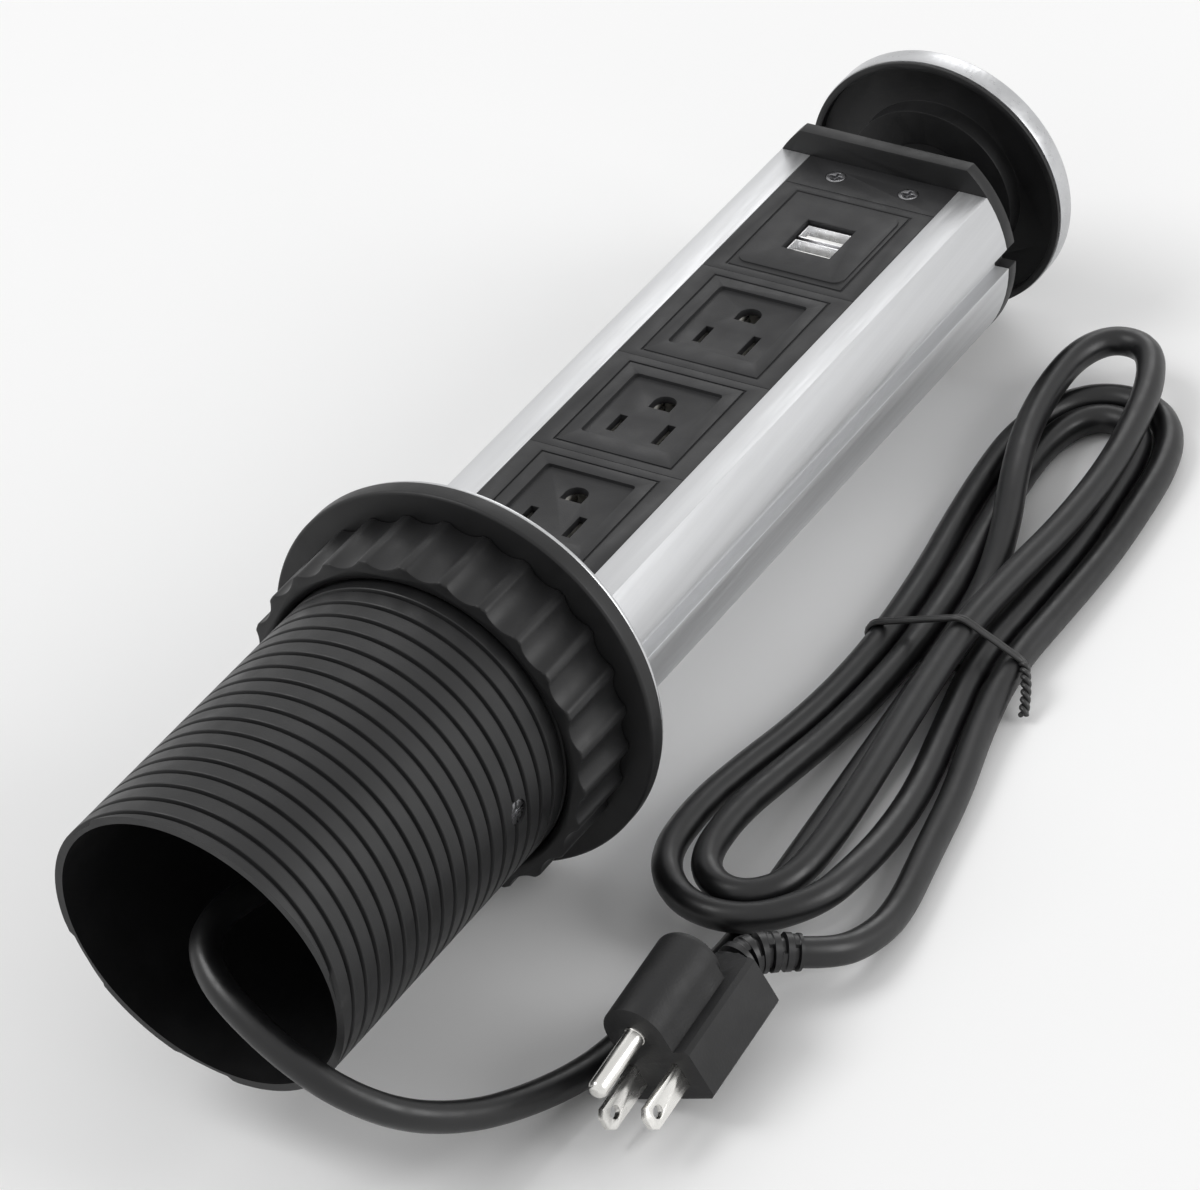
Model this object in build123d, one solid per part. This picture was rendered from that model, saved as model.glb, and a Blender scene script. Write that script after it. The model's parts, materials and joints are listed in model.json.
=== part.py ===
from build123d import *
import math
import os

# Pop up desk socket, drawn up out of its desk sleeve and laid on its side, with its mains lead
# tied in a hank beside it. Lengths are in millimetres.
#
# The tower and its sleeve are drawn straight first: x runs along the axis from the top face of
# the desk flange towards the cap, y runs across and z points out of the outlet panel. Then they
# are tilted so that the flange and the cap both touch z = 0. The lead, hank and plug lie on z = 0.

os.makedirs("parts", exist_ok=True)

# Fits
loose_gap = 0.3
seat_gap = 0.05
slip_gap = 0.1
overrun = 2.0

# Tower extrusion
tower_radius = 34.3
tower_wall = 1.7
panel_height = 18.4
panel_half_width = 20.97
lip_thickness = 2.0
web_thickness = 1.6
web_low = 8.0
ledge_height = 1.5
ledge_width = 2.4
notch_mouth_top = 5.0
notch_depth = 3.9
notch_root_half = 1.0
notch_mouth_low = -0.8
port_radius = 2.6
port_hole_radius = 1.45
port_inset = 4.0
port_angles = (26.0, -45.0)

# Desk sleeve
bushing_gap = 0.5
bushing_wall = 2.1
sleeve_wall = 2.0
bushing_bore_radius = tower_radius + bushing_gap
sleeve_bore_radius = bushing_bore_radius + bushing_wall
sleeve_crest_radius = sleeve_bore_radius + sleeve_wall
thread_depth = 0.8
thread_pitch = 5.42
thread_groove_width = 1.6
sleeve_length = 118.5
mouth_side_slope = 0.075
mouth_height_slope = -0.134
flange_reach = 11.7
flange_radius = sleeve_crest_radius + flange_reach
flange_thickness = 5.0
flange_top_round = 0.8
flange_lower_round = 1.8
plain_neck_length = 6.0
plain_mouth_length = 4.0

# Flange trim ring
trim_ring_inset = 0.6
trim_ring_radius = flange_radius - trim_ring_inset
trim_ring_thickness = 1.4
trim_ring_chamfer = 0.4

# Guide bushing and its friction pads
bushing_length = 24.0
bushing_lip_reach = 0.7
bushing_lip_radius = sleeve_crest_radius + bushing_lip_reach
pad_length = 10.0
pad_angle_width = 20.0
pad_thickness = 1.2
pad_depth = 8.0
pad_angles = (-40.0, -90.0, -140.0)

# Guide screw through the sleeve wall
guide_screw_depth = 45.0
guide_screw_height = 1.5
guide_tip_radius = 1.2
guide_bite = 1.3
guide_tip_reach = tower_radius - guide_bite
guide_head_radius = 3.0
guide_head_thickness = 0.8
guide_head_sink = 0.6
guide_drive_width = 0.7
guide_drive_depth = 0.4

# Clamp nut
nut_reach = 5.7
nut_crest_radius = sleeve_crest_radius + nut_reach
nut_length = 20.3
nut_flutes = 26
nut_flute_radius = 7.1
nut_flute_depth = 1.7
nut_bore_chamfer = 1.2

# End plates and their screws
top_plate_thickness = 4.0
visor_height = 25.0
stop_plate_thickness = 5.0
stop_plate_radius = sleeve_bore_radius - loose_gap
plate_screw_head_radius = 2.6
plate_screw_head_height = 2.0
plate_screw_length = 12.0
plate_screw_shaft_radius = 1.35
drive_slot_width = 0.8
drive_slot_depth = 0.9
drive_reach_share = 0.7

# Panel modules
module_length = 42.2
blank_length = 13.1
lower_blank_length = 68.9
panel_plate = 3.0
panel_skirt = 1.6
module_gap = 0.1
frame_line_width = 0.6
frame_line_depth = 0.5
frame_side_inset = 4.8
frame_half_width = panel_half_width - frame_side_inset
frame_inset = 2.6
frame_half_length = module_length / 2 - frame_inset

# Outlet pattern
recess_half_width = 12.05
recess_half_length = 13.45
recess_depth = 1.0
recess_corner = 1.0
pattern_shift = 0.9
blade_spacing = 12.7
ground_offset = 11.9
slot_width = 2.2
live_slot_length = 7.2
neutral_slot_length = 8.6
ground_hole_radius = 2.9

# Outlet housings and bus strips
housing_end_gap = 1.9
housing_low = -2.0
channel_floor = 2.0
strip_thickness = 1.0
strip_leaf = 0.6
blade_leaf_gap = 1.3
ground_leaf_gap = 3.9
leaf_length = 7.0
leaf_top = 14.6
channel_gap = 0.2
strip_run_in = 4.4
ground_strip_overhang = 2.5
supply_strip_overhang = 5.0

# Charger module
raised_inset = 4.8
raised_side_inset = 6.3
raised_half_width = panel_half_width - raised_side_inset
raised_half_length = module_length / 2 - raised_inset
raised_height = 0.5
raised_corner = 3.0
window_half_width = 6.7
window_half_length = 6.9
port_spacing = 6.9
port_shell_width = 12.6
port_shell_height = 5.7
port_shell_wall = 0.4
port_sink = 0.8
tongue_width = 10.6
tongue_thickness = 1.8
tongue_offset = 0.7
tongue_sink = 1.2
tongue_base = 2.0
board_thickness = 1.6
board_gap = 1.4
board_step = 1.4
charger_wall = 1.3
charger_low = -13.0
transformer_size = (15.0, 14.0, 11.0)
transformer_place = (-6.0, 4.0)
capacitor_radius = 4.0
capacitor_length = 12.0
capacitor_places = ((9.0, 5.5), (9.0, -5.5))

# Panel screws
panel_screw_side = 10.2
panel_screw_inset = 6.4
panel_screw_head_radius = 2.5
panel_screw_head_height = 1.2
panel_screw_shaft_radius = 1.3
panel_screw_length = 8.0
tab_half_width = 14.0
tab_thickness = 4.0
tab_length = 10.0

# Cap
stem_radius = 14.0
stem_wall = 2.0
stem_core_radius = 5.0
stem_roof = 2.5
neck_length = 18.7
boss_radius = 23.1
cap_rim_drop = 2.7
cap_rim_inset = 0.2
cap_rim_wall = 1.8
cap_dish = 2.8
cap_floor_thickness = 2.4
cap_rim_height = 1.2
cap_ring_height = 6.3
cap_ring_radius = 35.4
cap_ring_round = 1.0
cap_ring_wall = 1.2
cap_ring_lip = 1.0
cap_ring_lip_reach = 2.9
cap_crown = 0.4
cap_screw_radius = 2.5
cap_screw_head_radius = 5.0
cap_screw_head_height = 2.2
cap_screw_bite = 3.0

# Lead, its gland and its inner end
cord_radius = 3.7
bend_share = 0.45
gland_straight = 8.14
gland_flange_radius = 9.0
gland_flange_thickness = 3.0
gland_collar_radius = 6.0
gland_root_radius = 7.4
gland_tip_radius = 5.0
gland_length = 30.0
gland_ribs = 5
gland_rib_depth = 0.8
gland_rib_share = 0.6
inner_cord_length = 14.0
core_radius = 1.4
core_pitch_radius = 2.0
core_straight = 9.0
live_core_angle = 30.0
neutral_core_angle = 150.0
ground_core_angle = 270.0
clamp_length = 8.0
clamp_half_width = 11.0
clamp_top = 8.0
clamp_shelf_low = -8.0
clamp_split = 0.2
clamp_screw_side = 8.0
clamp_screw_radius = 1.4
clamp_screw_head_radius = 2.4
clamp_screw_head_height = 1.4
clamp_screw_low = -6.0

# Hank: places are measured from its middle, u along it and v across it
hank_middle = (37.7, -70.5)
hank_turn = 1.9
strand_pitch = 8.25
stack_angle = 60.0
strand_height = 4.0
raised_height_step = 8.3
tie_lift = 1.7
top_centre = 91.1
top_inner_radius = 8.9
bottom_centre = 91.0
bottom_right_radius = 13.0
bottom_left_radius = 16.9
right_bulge = 45.5
right_bulge_width = 6.0
bulge_lift = 4.5
tail_spread = 24.0
tail_lean = 7.0
hank_turns = 3
hank_start = 96.0
lead_end_run = 22.5
straight_limit = 0.0000001
even_share = 0.000000001
tail_start_run = 20.0

# Lead between the gland and the hank, and between the hank and the plug
lead_points = [
    (-159.4, 4.0, 56.8), (-170.4, 3.5, 55.6), (-177.9, -4.0, 53.0), (-182.5, -14.5, 49.6),
    (-184.7, -26.5, 43.8), (-183.5, -38.0, 36.6), (-176.4, -48.5, 27.6), (-162.4, -56.2, 18.4),
    (-144.9, -60.8, 10.6), (-126.9, -64.6, 5.2), (-111.4, -66.9, 4.0), (-96.9, -69.3, 3.9),
]
tail_points = [(-50.9, -103.4, 4.2), (-65.4, -102.4, 7.2)]

# Hank tie
tie_radius = 0.8
tie_corner = 3.2
tie_twist_length = 11.0
tie_twist_radius = 1.5

# Plug
plug_root = (-127.3, -84.2, 11.9)
plug_pitch = 5.5
plug_roll = -22.4
block_half_width = 12.2
block_top = 6.7
block_low = -7.3
block_length = 31.2
block_edge = 1.0
shoulder_length = 3.0
dome_radius = 8.0
dome_length = 27.0
dome_edge = 2.5
plug_blade_length = 15.9
plug_blade_width = 6.35
plug_blade_thickness = 1.5
plug_blade_tip = 1.6
blade_hole_radius = 1.6
blade_hole_inset = 4.0
blade_bury = 8.0
ground_pin_length = 18.5
ground_pin_radius = 2.4
ground_pin_tip = 1.6
ground_pin_root_step = 0.22
ground_pin_collar = 0.4
relief_points = ((-86.0, -86.0, 15.2), (-82.5, -89.6, 14.2), (-78.9, -93.9, 12.6))
relief_straight = 3.2
relief_root_radius = 5.4
relief_tip_radius = 4.4
relief_ribs = 6
relief_groove_share = 0.86

# Places worked out from the sizes above
tower_bottom = -(guide_screw_depth + guide_tip_radius + loose_gap)
stop_low = tower_bottom - stop_plate_thickness
module_lows = [tower_bottom + lower_blank_length + module_length * place for place in range(3)]
charger_low_x = module_lows[-1] + module_length
upper_blank_low = charger_low_x + module_length
tower_top = upper_blank_low + blank_length
strip_start = module_lows[0] - strip_run_in
cap_top_plate = tower_top + top_plate_thickness
boss_low = cap_top_plate + neck_length
cap_rim_low = boss_low + cap_rim_drop
cap_floor = cap_rim_low + cap_dish
cap_ring_low = cap_rim_low + cap_rim_height
cap_ring_top = cap_ring_low + cap_ring_height
cap_rim_outer = cap_ring_radius - cap_rim_inset
cap_rim_inner = cap_rim_outer - cap_rim_wall
cap_ring_seat = cap_ring_radius - cap_ring_wall
cap_ring_lip_radius = cap_ring_radius - cap_ring_lip_reach
notch_root = tower_radius - notch_depth
port_reach = tower_radius - port_inset
port_places_across = [
    (port_reach * math.cos(math.radians(angle)), port_reach * math.sin(math.radians(angle)))
    for angle in port_angles
]
ledge_top = web_low + ledge_height
tray_half_width = panel_half_width - slip_gap
tray_roof = panel_height - panel_plate
housing_half_width = panel_half_width - ledge_width - loose_gap
board_half_width = housing_half_width - charger_wall - board_gap
board_half_length = module_length / 2 - housing_end_gap - charger_wall - board_gap / 2
gland_end = stop_low - gland_length


def rod(radius, start, end, y=0, z=0):
    """Cylinder along x."""
    drum = Cylinder(radius, end - start, align=(Align.CENTER, Align.CENTER, Align.MIN))
    return Pos(start, y, z) * Rot(0, 90, 0) * drum


def post(radius, x, y, low, high):
    """Cylinder along z."""
    drum = Cylinder(radius, high - low, align=(Align.CENTER, Align.CENTER, Align.MIN))
    return Pos(x, y, low) * drum


def block(low, high):
    """Box between two corners."""
    size = [top - bottom for bottom, top in zip(low, high)]
    return Pos(*low) * Box(*size, align=(Align.MIN, Align.MIN, Align.MIN))


def area(low, high):
    """Rectangle between two corners of a section."""
    width = high[0] - low[0]
    height = high[1] - low[1]
    return Pos(*low) * Rectangle(width, height, align=(Align.MIN, Align.MIN))


def turned(outline, rounds=()):
    """Solid turned about the x axis; outline points are (place along x, radius)."""
    face = make_face(Polyline(*outline, close=True))
    for place, radius in rounds:
        corner = face.vertices().sort_by_distance((*place, 0))[0]
        face = fillet(corner, radius)
    return revolve(face, axis=Axis.X)


def along_tower(section, start, end):
    """Section drawn across the tower, run from start to end."""
    return Pos(start, 0, 0) * extrude(Plane.YZ * section, end - start)


def half_turns(points):
    """The same places on both sides of the tower."""
    return [(side * y, z) for y, z in points for side in (1, -1)]


def sleeve():
    """Threaded sleeve with its desk flange and slanted open mouth."""
    far_end = -(sleeve_length + sleeve_crest_radius * abs(mouth_height_slope) * 2)
    root = sleeve_crest_radius - thread_depth
    half_groove = thread_groove_width / 2
    outline = [(0, sleeve_bore_radius), (0, flange_radius), (-flange_thickness, flange_radius)]
    outline.append((-flange_thickness, sleeve_crest_radius))
    place = -(flange_thickness + plain_neck_length)
    while place > -(sleeve_length - plain_mouth_length):
        outline.append((place + half_groove, sleeve_crest_radius))
        outline.append((place + half_groove / 2, root))
        outline.append((place - half_groove / 2, root))
        outline.append((place - half_groove, sleeve_crest_radius))
        place -= thread_pitch
    outline += [(far_end, sleeve_crest_radius), (far_end, sleeve_bore_radius)]
    top_round = ((0, flange_radius), flange_top_round)
    lower_round = ((-flange_thickness, flange_radius), flange_lower_round)
    body = turned(outline, (top_round, lower_round))
    corner = sleeve_crest_radius + overrun
    lean = math.degrees(math.atan(mouth_height_slope))
    swing = -math.degrees(math.atan(mouth_side_slope))
    beyond = Box(sleeve_length, 4 * corner, 4 * corner, align=(Align.MAX, Align.CENTER, Align.CENTER))
    body -= Pos(-sleeve_length, 0, 0) * Rot(0, lean, swing) * beyond
    head_top = sleeve_crest_radius - guide_head_sink
    head_low = head_top - guide_head_thickness
    hole = post(guide_tip_radius + slip_gap, 0, 0, 0, sleeve_crest_radius + overrun)
    sink = post(guide_head_radius + slip_gap, 0, 0, head_low, sleeve_crest_radius + overrun)
    return body - guide_place() * (hole + sink)


def guide_place():
    """Turns a shape drawn up along z so that it points out through the sleeve's -y wall."""
    return Pos(-guide_screw_depth, 0, guide_screw_height) * Rot(90, 0, 0)


def guide_screw():
    """Small screw whose tip runs in the tower's notch: it keys the tower and ends its travel."""
    head_top = sleeve_crest_radius - guide_head_sink
    head_low = head_top - guide_head_thickness
    screw = post(guide_tip_radius, 0, 0, guide_tip_reach, head_top)
    screw += post(guide_head_radius, 0, 0, head_low + seat_gap, head_top)
    reach = guide_head_radius + overrun
    half = guide_drive_width / 2
    for size in ((reach, half), (half, reach)):
        low = (-size[0], -size[1], head_top - guide_drive_depth)
        screw -= block(low, (size[0], size[1], head_top + overrun))
    return guide_place() * screw


def trim_ring():
    """Bright ring let onto the top of the flange round the bushing's lip."""
    inner = bushing_lip_radius + slip_gap
    ring = turned([(0, inner), (0, trim_ring_radius), (trim_ring_thickness, trim_ring_radius),
                   (trim_ring_thickness, inner)])
    top_edges = ring.edges().filter_by(GeomType.CIRCLE).group_by(Axis.X)[-1]
    return chamfer(top_edges, trim_ring_chamfer)


def bushing():
    """Plastic bushing that guides the tower at the top of the sleeve."""
    outer = sleeve_bore_radius - seat_gap
    body = turned([(-bushing_length, bushing_bore_radius), (-bushing_length, outer), (seat_gap, outer),
                   (seat_gap, bushing_lip_radius), (trim_ring_thickness, bushing_lip_radius),
                   (trim_ring_thickness, bushing_bore_radius)])
    return body - pads(slip_gap)


def pads(growth=0):
    """Three curved friction pads let into the bushing; growth makes their pockets."""
    inner = tower_radius + loose_gap
    outer = inner + pad_thickness + growth
    low = -pad_depth - pad_length - growth
    high = -pad_depth + growth
    spread = math.radians(pad_angle_width) / 2
    side = outer * math.sin(spread) + growth
    shell = rod(outer, low, high) - rod(inner - growth, low - overrun, high + overrun)
    slice_box = block((low, -side, 0), (high, side, outer + overrun))
    group = []
    for angle in pad_angles:
        group.append(shell & (Rot(angle - 90, 0, 0) * slice_box))
    return Compound(children=group) if growth == 0 else group[0] + group[1] + group[2]


def clamp_nut():
    """Scalloped plastic nut that clamps the desk top against the flange."""
    near = -flange_thickness - nut_length - slip_gap
    far = -flange_thickness - slip_gap
    bore = sleeve_crest_radius + loose_gap
    body = turned([(near, bore + nut_bore_chamfer), (near, nut_crest_radius), (far, nut_crest_radius),
                   (far, bore), (near + nut_bore_chamfer, bore)])
    centre = nut_crest_radius - nut_flute_depth + nut_flute_radius
    for flute in range(nut_flutes):
        turn = Rot(360 * flute / nut_flutes, 0, 0)
        body -= turn * rod(nut_flute_radius, near - overrun, far + overrun, centre)
    return body


def notch(depth=0):
    """Key groove at both sides of the tower; depth makes the metal round it."""
    root = notch_root - depth
    outside = tower_radius + overrun
    shape = [(outside, notch_mouth_top + depth + overrun), (root, notch_root_half + depth / 2),
             (root, -notch_root_half - depth), (outside, notch_mouth_low - depth)]
    one = make_face(Polyline(*shape, close=True))
    return one + mirror(one, about=Plane.YZ)


def tower_outline(radius, top):
    """Round section cut flat at its top."""
    return Circle(radius) & area((-radius, -radius), (radius, top))


def extrusion():
    """Aluminium extrusion: round back, flat front with two lips, inner webs and screw ports."""
    inside = tower_outline(tower_radius - tower_wall, panel_height - lip_thickness) - notch(tower_wall)
    section = tower_outline(tower_radius, panel_height) - inside - notch()
    section -= area((-panel_half_width, ledge_top), (panel_half_width, panel_height + overrun))
    for side in (1, -1):
        web_outer = side * (panel_half_width + web_thickness)
        web_inner = side * panel_half_width
        low, high = sorted((web_outer, web_inner))
        section += area((low, web_low), (high, panel_height - lip_thickness / 2))
        ledge_inner = side * (panel_half_width - ledge_width)
        low, high = sorted((web_outer, ledge_inner))
        section += area((low, web_low), (high, ledge_top))
    for place in half_turns(port_places_across):
        section += Pos(*place) * Circle(port_radius)
    for place in half_turns(port_places_across):
        section -= Pos(*place) * Circle(port_hole_radius)
    return along_tower(section, tower_bottom, tower_top)


def cross_drive(x, reach, top, depth):
    """Cross slot in a screw head that faces +x, ready to be moved to the screw."""
    half = drive_slot_width / 2
    slot = block((top - depth, -reach, -half), (top + overrun, reach, half))
    return Pos(x, 0, 0) * (slot + Rot(90, 0, 0) * slot)


def plate_screw():
    """One end plate screw on the x axis, its head ending at x = 0 and facing +x."""
    head = rod(plate_screw_head_radius, -plate_screw_head_height, 0)
    shaft = rod(plate_screw_shaft_radius, -plate_screw_length, -plate_screw_head_height)
    reach = plate_screw_head_radius * drive_reach_share
    return head + shaft - cross_drive(0, reach, 0, drive_slot_depth)


def plate_screws():
    """The four screws of the top plate and the four of the stop plate."""
    group = []
    for y, z in half_turns(port_places_across):
        group.append(Pos(cap_top_plate - slip_gap, y, z) * plate_screw())
        group.append(Pos(stop_low + slip_gap, y, z) * Rot(0, 180, 0) * plate_screw())
    return Compound(children=group)


def screw_holes(x_low, x_high, head_low, head_high):
    """Clearance holes and head pockets for the four screws of an end plate."""
    cuts = []
    for y, z in half_turns(port_places_across):
        cuts.append(rod(plate_screw_shaft_radius + slip_gap, x_low, x_high, y, z))
        cuts.append(rod(plate_screw_head_radius + slip_gap, head_low, head_high, y, z))
    return cuts


def top_plate():
    """Top end plate that overhangs the panel like a visor, with a tab for the blank panel."""
    section = tower_outline(tower_radius, visor_height) - notch()
    plate = along_tower(section, tower_top + seat_gap, cap_top_plate)
    tab_top = tray_roof - slip_gap
    tab_low = (tower_top - tab_length, -tab_half_width, tab_top - tab_thickness)
    plate += block(tab_low, (tower_top + top_plate_thickness / 2, tab_half_width, tab_top))
    head_low = cap_top_plate - plate_screw_head_height - slip_gap - seat_gap
    for cut in screw_holes(tower_top - overrun, cap_top_plate + overrun, head_low, cap_top_plate + overrun):
        plate -= cut
    plate -= rod(cap_screw_radius + seat_gap, tower_top - overrun, cap_top_plate + overrun)
    for side in (1, -1):
        y = side * panel_screw_side
        x = tower_top - panel_screw_inset
        low = tab_top - tab_thickness - overrun
        plate -= post(panel_screw_shaft_radius + seat_gap, x, y, low, tab_top + overrun)
    return plate


def stop_plate():
    """Full round bottom plate: it stops against the guide screw and carries the cord clamp."""
    plate = rod(stop_plate_radius, stop_low, tower_bottom - seat_gap)
    plate += block((tower_bottom - stop_plate_thickness / 2, -clamp_half_width, clamp_shelf_low),
                   (tower_bottom + inner_cord_length - loose_gap, clamp_half_width, -clamp_split))
    plate -= rod(gland_collar_radius + seat_gap, stop_low - overrun, tower_bottom)
    plate -= rod(cord_radius + seat_gap, stop_low, tower_bottom + inner_cord_length + overrun)
    head_high = stop_low + plate_screw_head_height + slip_gap + seat_gap
    for cut in screw_holes(stop_low - overrun, tower_bottom + overrun, stop_low - overrun, head_high):
        plate -= cut
    for x, y in clamp_screw_places():
        plate -= post(clamp_screw_radius + seat_gap, x, y, clamp_screw_low - slip_gap, overrun)
    return plate


def clamp_screw_places():
    x = tower_bottom + inner_cord_length - loose_gap - clamp_length / 2
    return [(x, clamp_screw_side), (x, -clamp_screw_side)]


def cord_clamp():
    """Saddle that holds the inner end of the lead down on the stop plate's shelf."""
    x_high = tower_bottom + inner_cord_length - loose_gap
    saddle = block((x_high - clamp_length, -clamp_half_width, 0), (x_high, clamp_half_width, clamp_top))
    saddle -= rod(cord_radius + seat_gap, x_high - clamp_length - overrun, x_high + overrun)
    for x, y in clamp_screw_places():
        saddle -= post(clamp_screw_radius + seat_gap, x, y, -overrun, clamp_top + overrun)
    return saddle


def clamp_screws():
    group = []
    for x, y in clamp_screw_places():
        screw = post(clamp_screw_radius, x, y, clamp_screw_low, clamp_top + clamp_screw_head_height)
        head_low = clamp_top + seat_gap
        screw += post(clamp_screw_head_radius, x, y, head_low, clamp_top + clamp_screw_head_height)
        head_top = clamp_top + clamp_screw_head_height
        half = drive_slot_width / 2
        slot_low = (x - clamp_screw_head_radius, y - half, head_top - drive_slot_depth)
        slot_high = (x + clamp_screw_head_radius, y + half, head_top + overrun)
        group.append(screw - block(slot_low, slot_high))
    return Compound(children=group)


def tray(low, high, open_low=False, open_high=False):
    """Panel module: a plate with skirts that stand on the extrusion's ledges."""
    half_gap = module_gap / 2
    body = block((low + half_gap, -tray_half_width, ledge_top + slip_gap),
                 (high - half_gap, tray_half_width, panel_height))
    cavity_low = low - overrun if open_low else low + panel_skirt
    cavity_high = high + overrun if open_high else high - panel_skirt
    side = tray_half_width - panel_skirt
    return body - block((cavity_low, -side, ledge_top - overrun), (cavity_high, side, tray_roof))


def plate_shape(half_length, half_width, corner=0):
    """Rectangle that lies on the panel, length along the tower, with round corners if given."""
    if corner == 0:
        return Rectangle(2 * half_length, 2 * half_width)
    return RectangleRounded(2 * half_length, 2 * half_width, corner)


def frame_line(centre):
    """Shallow line round a module's face."""
    outer = plate_shape(frame_half_length, frame_half_width)
    inner = plate_shape(frame_half_length - frame_line_width, frame_half_width - frame_line_width)
    line = extrude(outer - inner, frame_line_depth + overrun)
    return Pos(centre, 0, panel_height - frame_line_depth) * line


def socket_face(low):
    """Outlet face: recessed field with two blade slots and a ground hole."""
    centre = low + module_length / 2
    face = tray(low, low + module_length) - frame_line(centre)
    pattern = centre + pattern_shift
    field = plate_shape(recess_half_length, recess_half_width, recess_corner)
    face -= Pos(pattern, 0, panel_height - recess_depth) * extrude(field, recess_depth + overrun)
    for y, length in ((blade_spacing / 2, live_slot_length), (-blade_spacing / 2, neutral_slot_length)):
        x = pattern - ground_offset / 2
        slot = Pos(x, y, 0) * Rectangle(length, slot_width)
        face -= Pos(0, 0, tray_roof - overrun) * extrude(slot, panel_plate + 2 * overrun)
    hole = Circle(ground_hole_radius)
    hole += area((-ground_hole_radius, -ground_hole_radius), (0, ground_hole_radius))
    hole_place = Pos(pattern + ground_offset / 2, 0, tray_roof - overrun)
    return face - hole_place * extrude(hole, panel_plate + 2 * overrun)


def strip_width(leaf_gap):
    return leaf_gap + 2 * strip_leaf + 2 * channel_gap


def channels():
    """Side place and width of each bus strip: live, neutral and ground."""
    side = blade_spacing / 2
    blade_strip = strip_width(blade_leaf_gap)
    return ((side, blade_strip), (-side, blade_strip), (0, strip_width(ground_leaf_gap)))


def socket_housing(low):
    """Insulating body under an outlet face, with open channels for the three bus strips."""
    start = low + housing_end_gap
    end = low + module_length - housing_end_gap
    top = tray_roof - slip_gap
    body = block((start, -housing_half_width, housing_low), (end, housing_half_width, top))
    for y, width in channels():
        half = width / 2 + channel_gap
        body -= block((start - overrun, y - half, channel_floor), (end + overrun, y + half, top + overrun))
    return body


def bus_strip(y, leaf_gap, leaf_shift, end):
    """Brass bus strip with a pair of spring leaves under each outlet."""
    half = strip_width(leaf_gap) / 2
    low = channel_floor + seat_gap
    strip = block((strip_start, y - half, low), (end, y + half, low + strip_thickness))
    for module_low in module_lows:
        x = module_low + module_length / 2 + pattern_shift + leaf_shift
        for side in (1, -1):
            inner = y + side * leaf_gap / 2
            outer = inner + side * strip_leaf
            y_low, y_high = sorted((inner, outer))
            strip += block((x - leaf_length / 2, y_low, low), (x + leaf_length / 2, y_high, leaf_top))
    return strip


def charger_face():
    """Face of the charger module: raised field round a window for two ports."""
    high = charger_low_x + module_length
    centre = charger_low_x + module_length / 2
    face = tray(charger_low_x, high) - frame_line(centre)
    field = plate_shape(raised_half_length, raised_half_width, raised_corner)
    face += Pos(centre, 0, panel_height - raised_height) * extrude(field, 2 * raised_height)
    window = plate_shape(window_half_length, window_half_width)
    return face - Pos(centre, 0, tray_roof - overrun) * extrude(window, panel_plate + 2 * overrun)


def port_places():
    centre = charger_low_x + module_length / 2
    return [centre - port_spacing / 2, centre + port_spacing / 2]


def board_top():
    return channel_floor + seat_gap + strip_thickness + loose_gap + board_thickness


def port_shells():
    """Two folded metal port shells that stand on the charger board."""
    group = []
    low = board_top() + seat_gap
    top = panel_height - port_sink
    for x in port_places():
        standing = (Align.CENTER, Align.CENTER, Align.MIN)
        outer = Box(port_shell_height, port_shell_width, top - low, align=standing)
        inner_height = port_shell_height - 2 * port_shell_wall
        inner_width = port_shell_width - 2 * port_shell_wall
        inner = Box(inner_height, inner_width, top, align=standing)
        group.append(Pos(x, 0, low) * outer - Pos(x, 0, low + tongue_base) * inner)
    return Compound(children=group)


def port_tongues():
    """Plastic contact tongue in each port."""
    group = []
    low = board_top() + seat_gap + tongue_base + seat_gap
    top = panel_height - port_sink - tongue_sink
    for x in port_places():
        standing = (Align.CENTER, Align.CENTER, Align.MIN)
        tongue = Box(tongue_thickness, tongue_width, top - low, align=standing)
        group.append(Pos(x - tongue_offset, 0, low) * tongue)
    return Compound(children=group)


def charger_board():
    """Circuit board of the charger, resting on the step inside its housing."""
    centre = charger_low_x + module_length / 2
    low = board_top() - board_thickness
    return block((centre - board_half_length, -board_half_width, low),
                 (centre + board_half_length, board_half_width, board_top()))


def charger_housing():
    """Box under the charger face that holds the board; its end wall lets two strips in."""
    centre = charger_low_x + module_length / 2
    half_length = module_length / 2 - housing_end_gap
    top = tray_roof - slip_gap
    body = block((centre - half_length, -housing_half_width, charger_low),
                 (centre + half_length, housing_half_width, top))
    step = board_top() - board_thickness - seat_gap
    upper = (half_length - charger_wall, housing_half_width - charger_wall)
    lower = (board_half_length - board_step, board_half_width - board_step)
    for half, low in ((upper, step), (lower, charger_low + charger_wall)):
        body -= block((centre - half[0], -half[1], low), (centre + half[0], half[1], top + overrun))
    for y, width in channels()[:2]:
        half = width / 2 + channel_gap
        low_x = centre - half_length - overrun
        body -= block((low_x, y - half, channel_floor - channel_gap),
                      (centre - lower[0] + overrun, y + half, step + overrun))
    return body


def transformer():
    """Small transformer under the charger board."""
    centre = charger_low_x + module_length / 2 + transformer_place[0]
    top = board_top() - board_thickness - seat_gap
    length, width, height = transformer_size
    core = block((centre - length / 2, transformer_place[1] - width / 2, top - height),
                 (centre + length / 2, transformer_place[1] + width / 2, top))
    return chamfer(core.edges().filter_by(Axis.Z), board_thickness)


def capacitors():
    """Two capacitors under the charger board."""
    top = board_top() - board_thickness - seat_gap
    centre = charger_low_x + module_length / 2
    group = []
    for x, y in capacitor_places:
        group.append(post(capacitor_radius, centre + x, y, top - capacitor_length, top))
    return Compound(children=group)


def panel_screw_places():
    x = tower_top - panel_screw_inset
    return [(x, panel_screw_side), (x, -panel_screw_side)]


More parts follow.
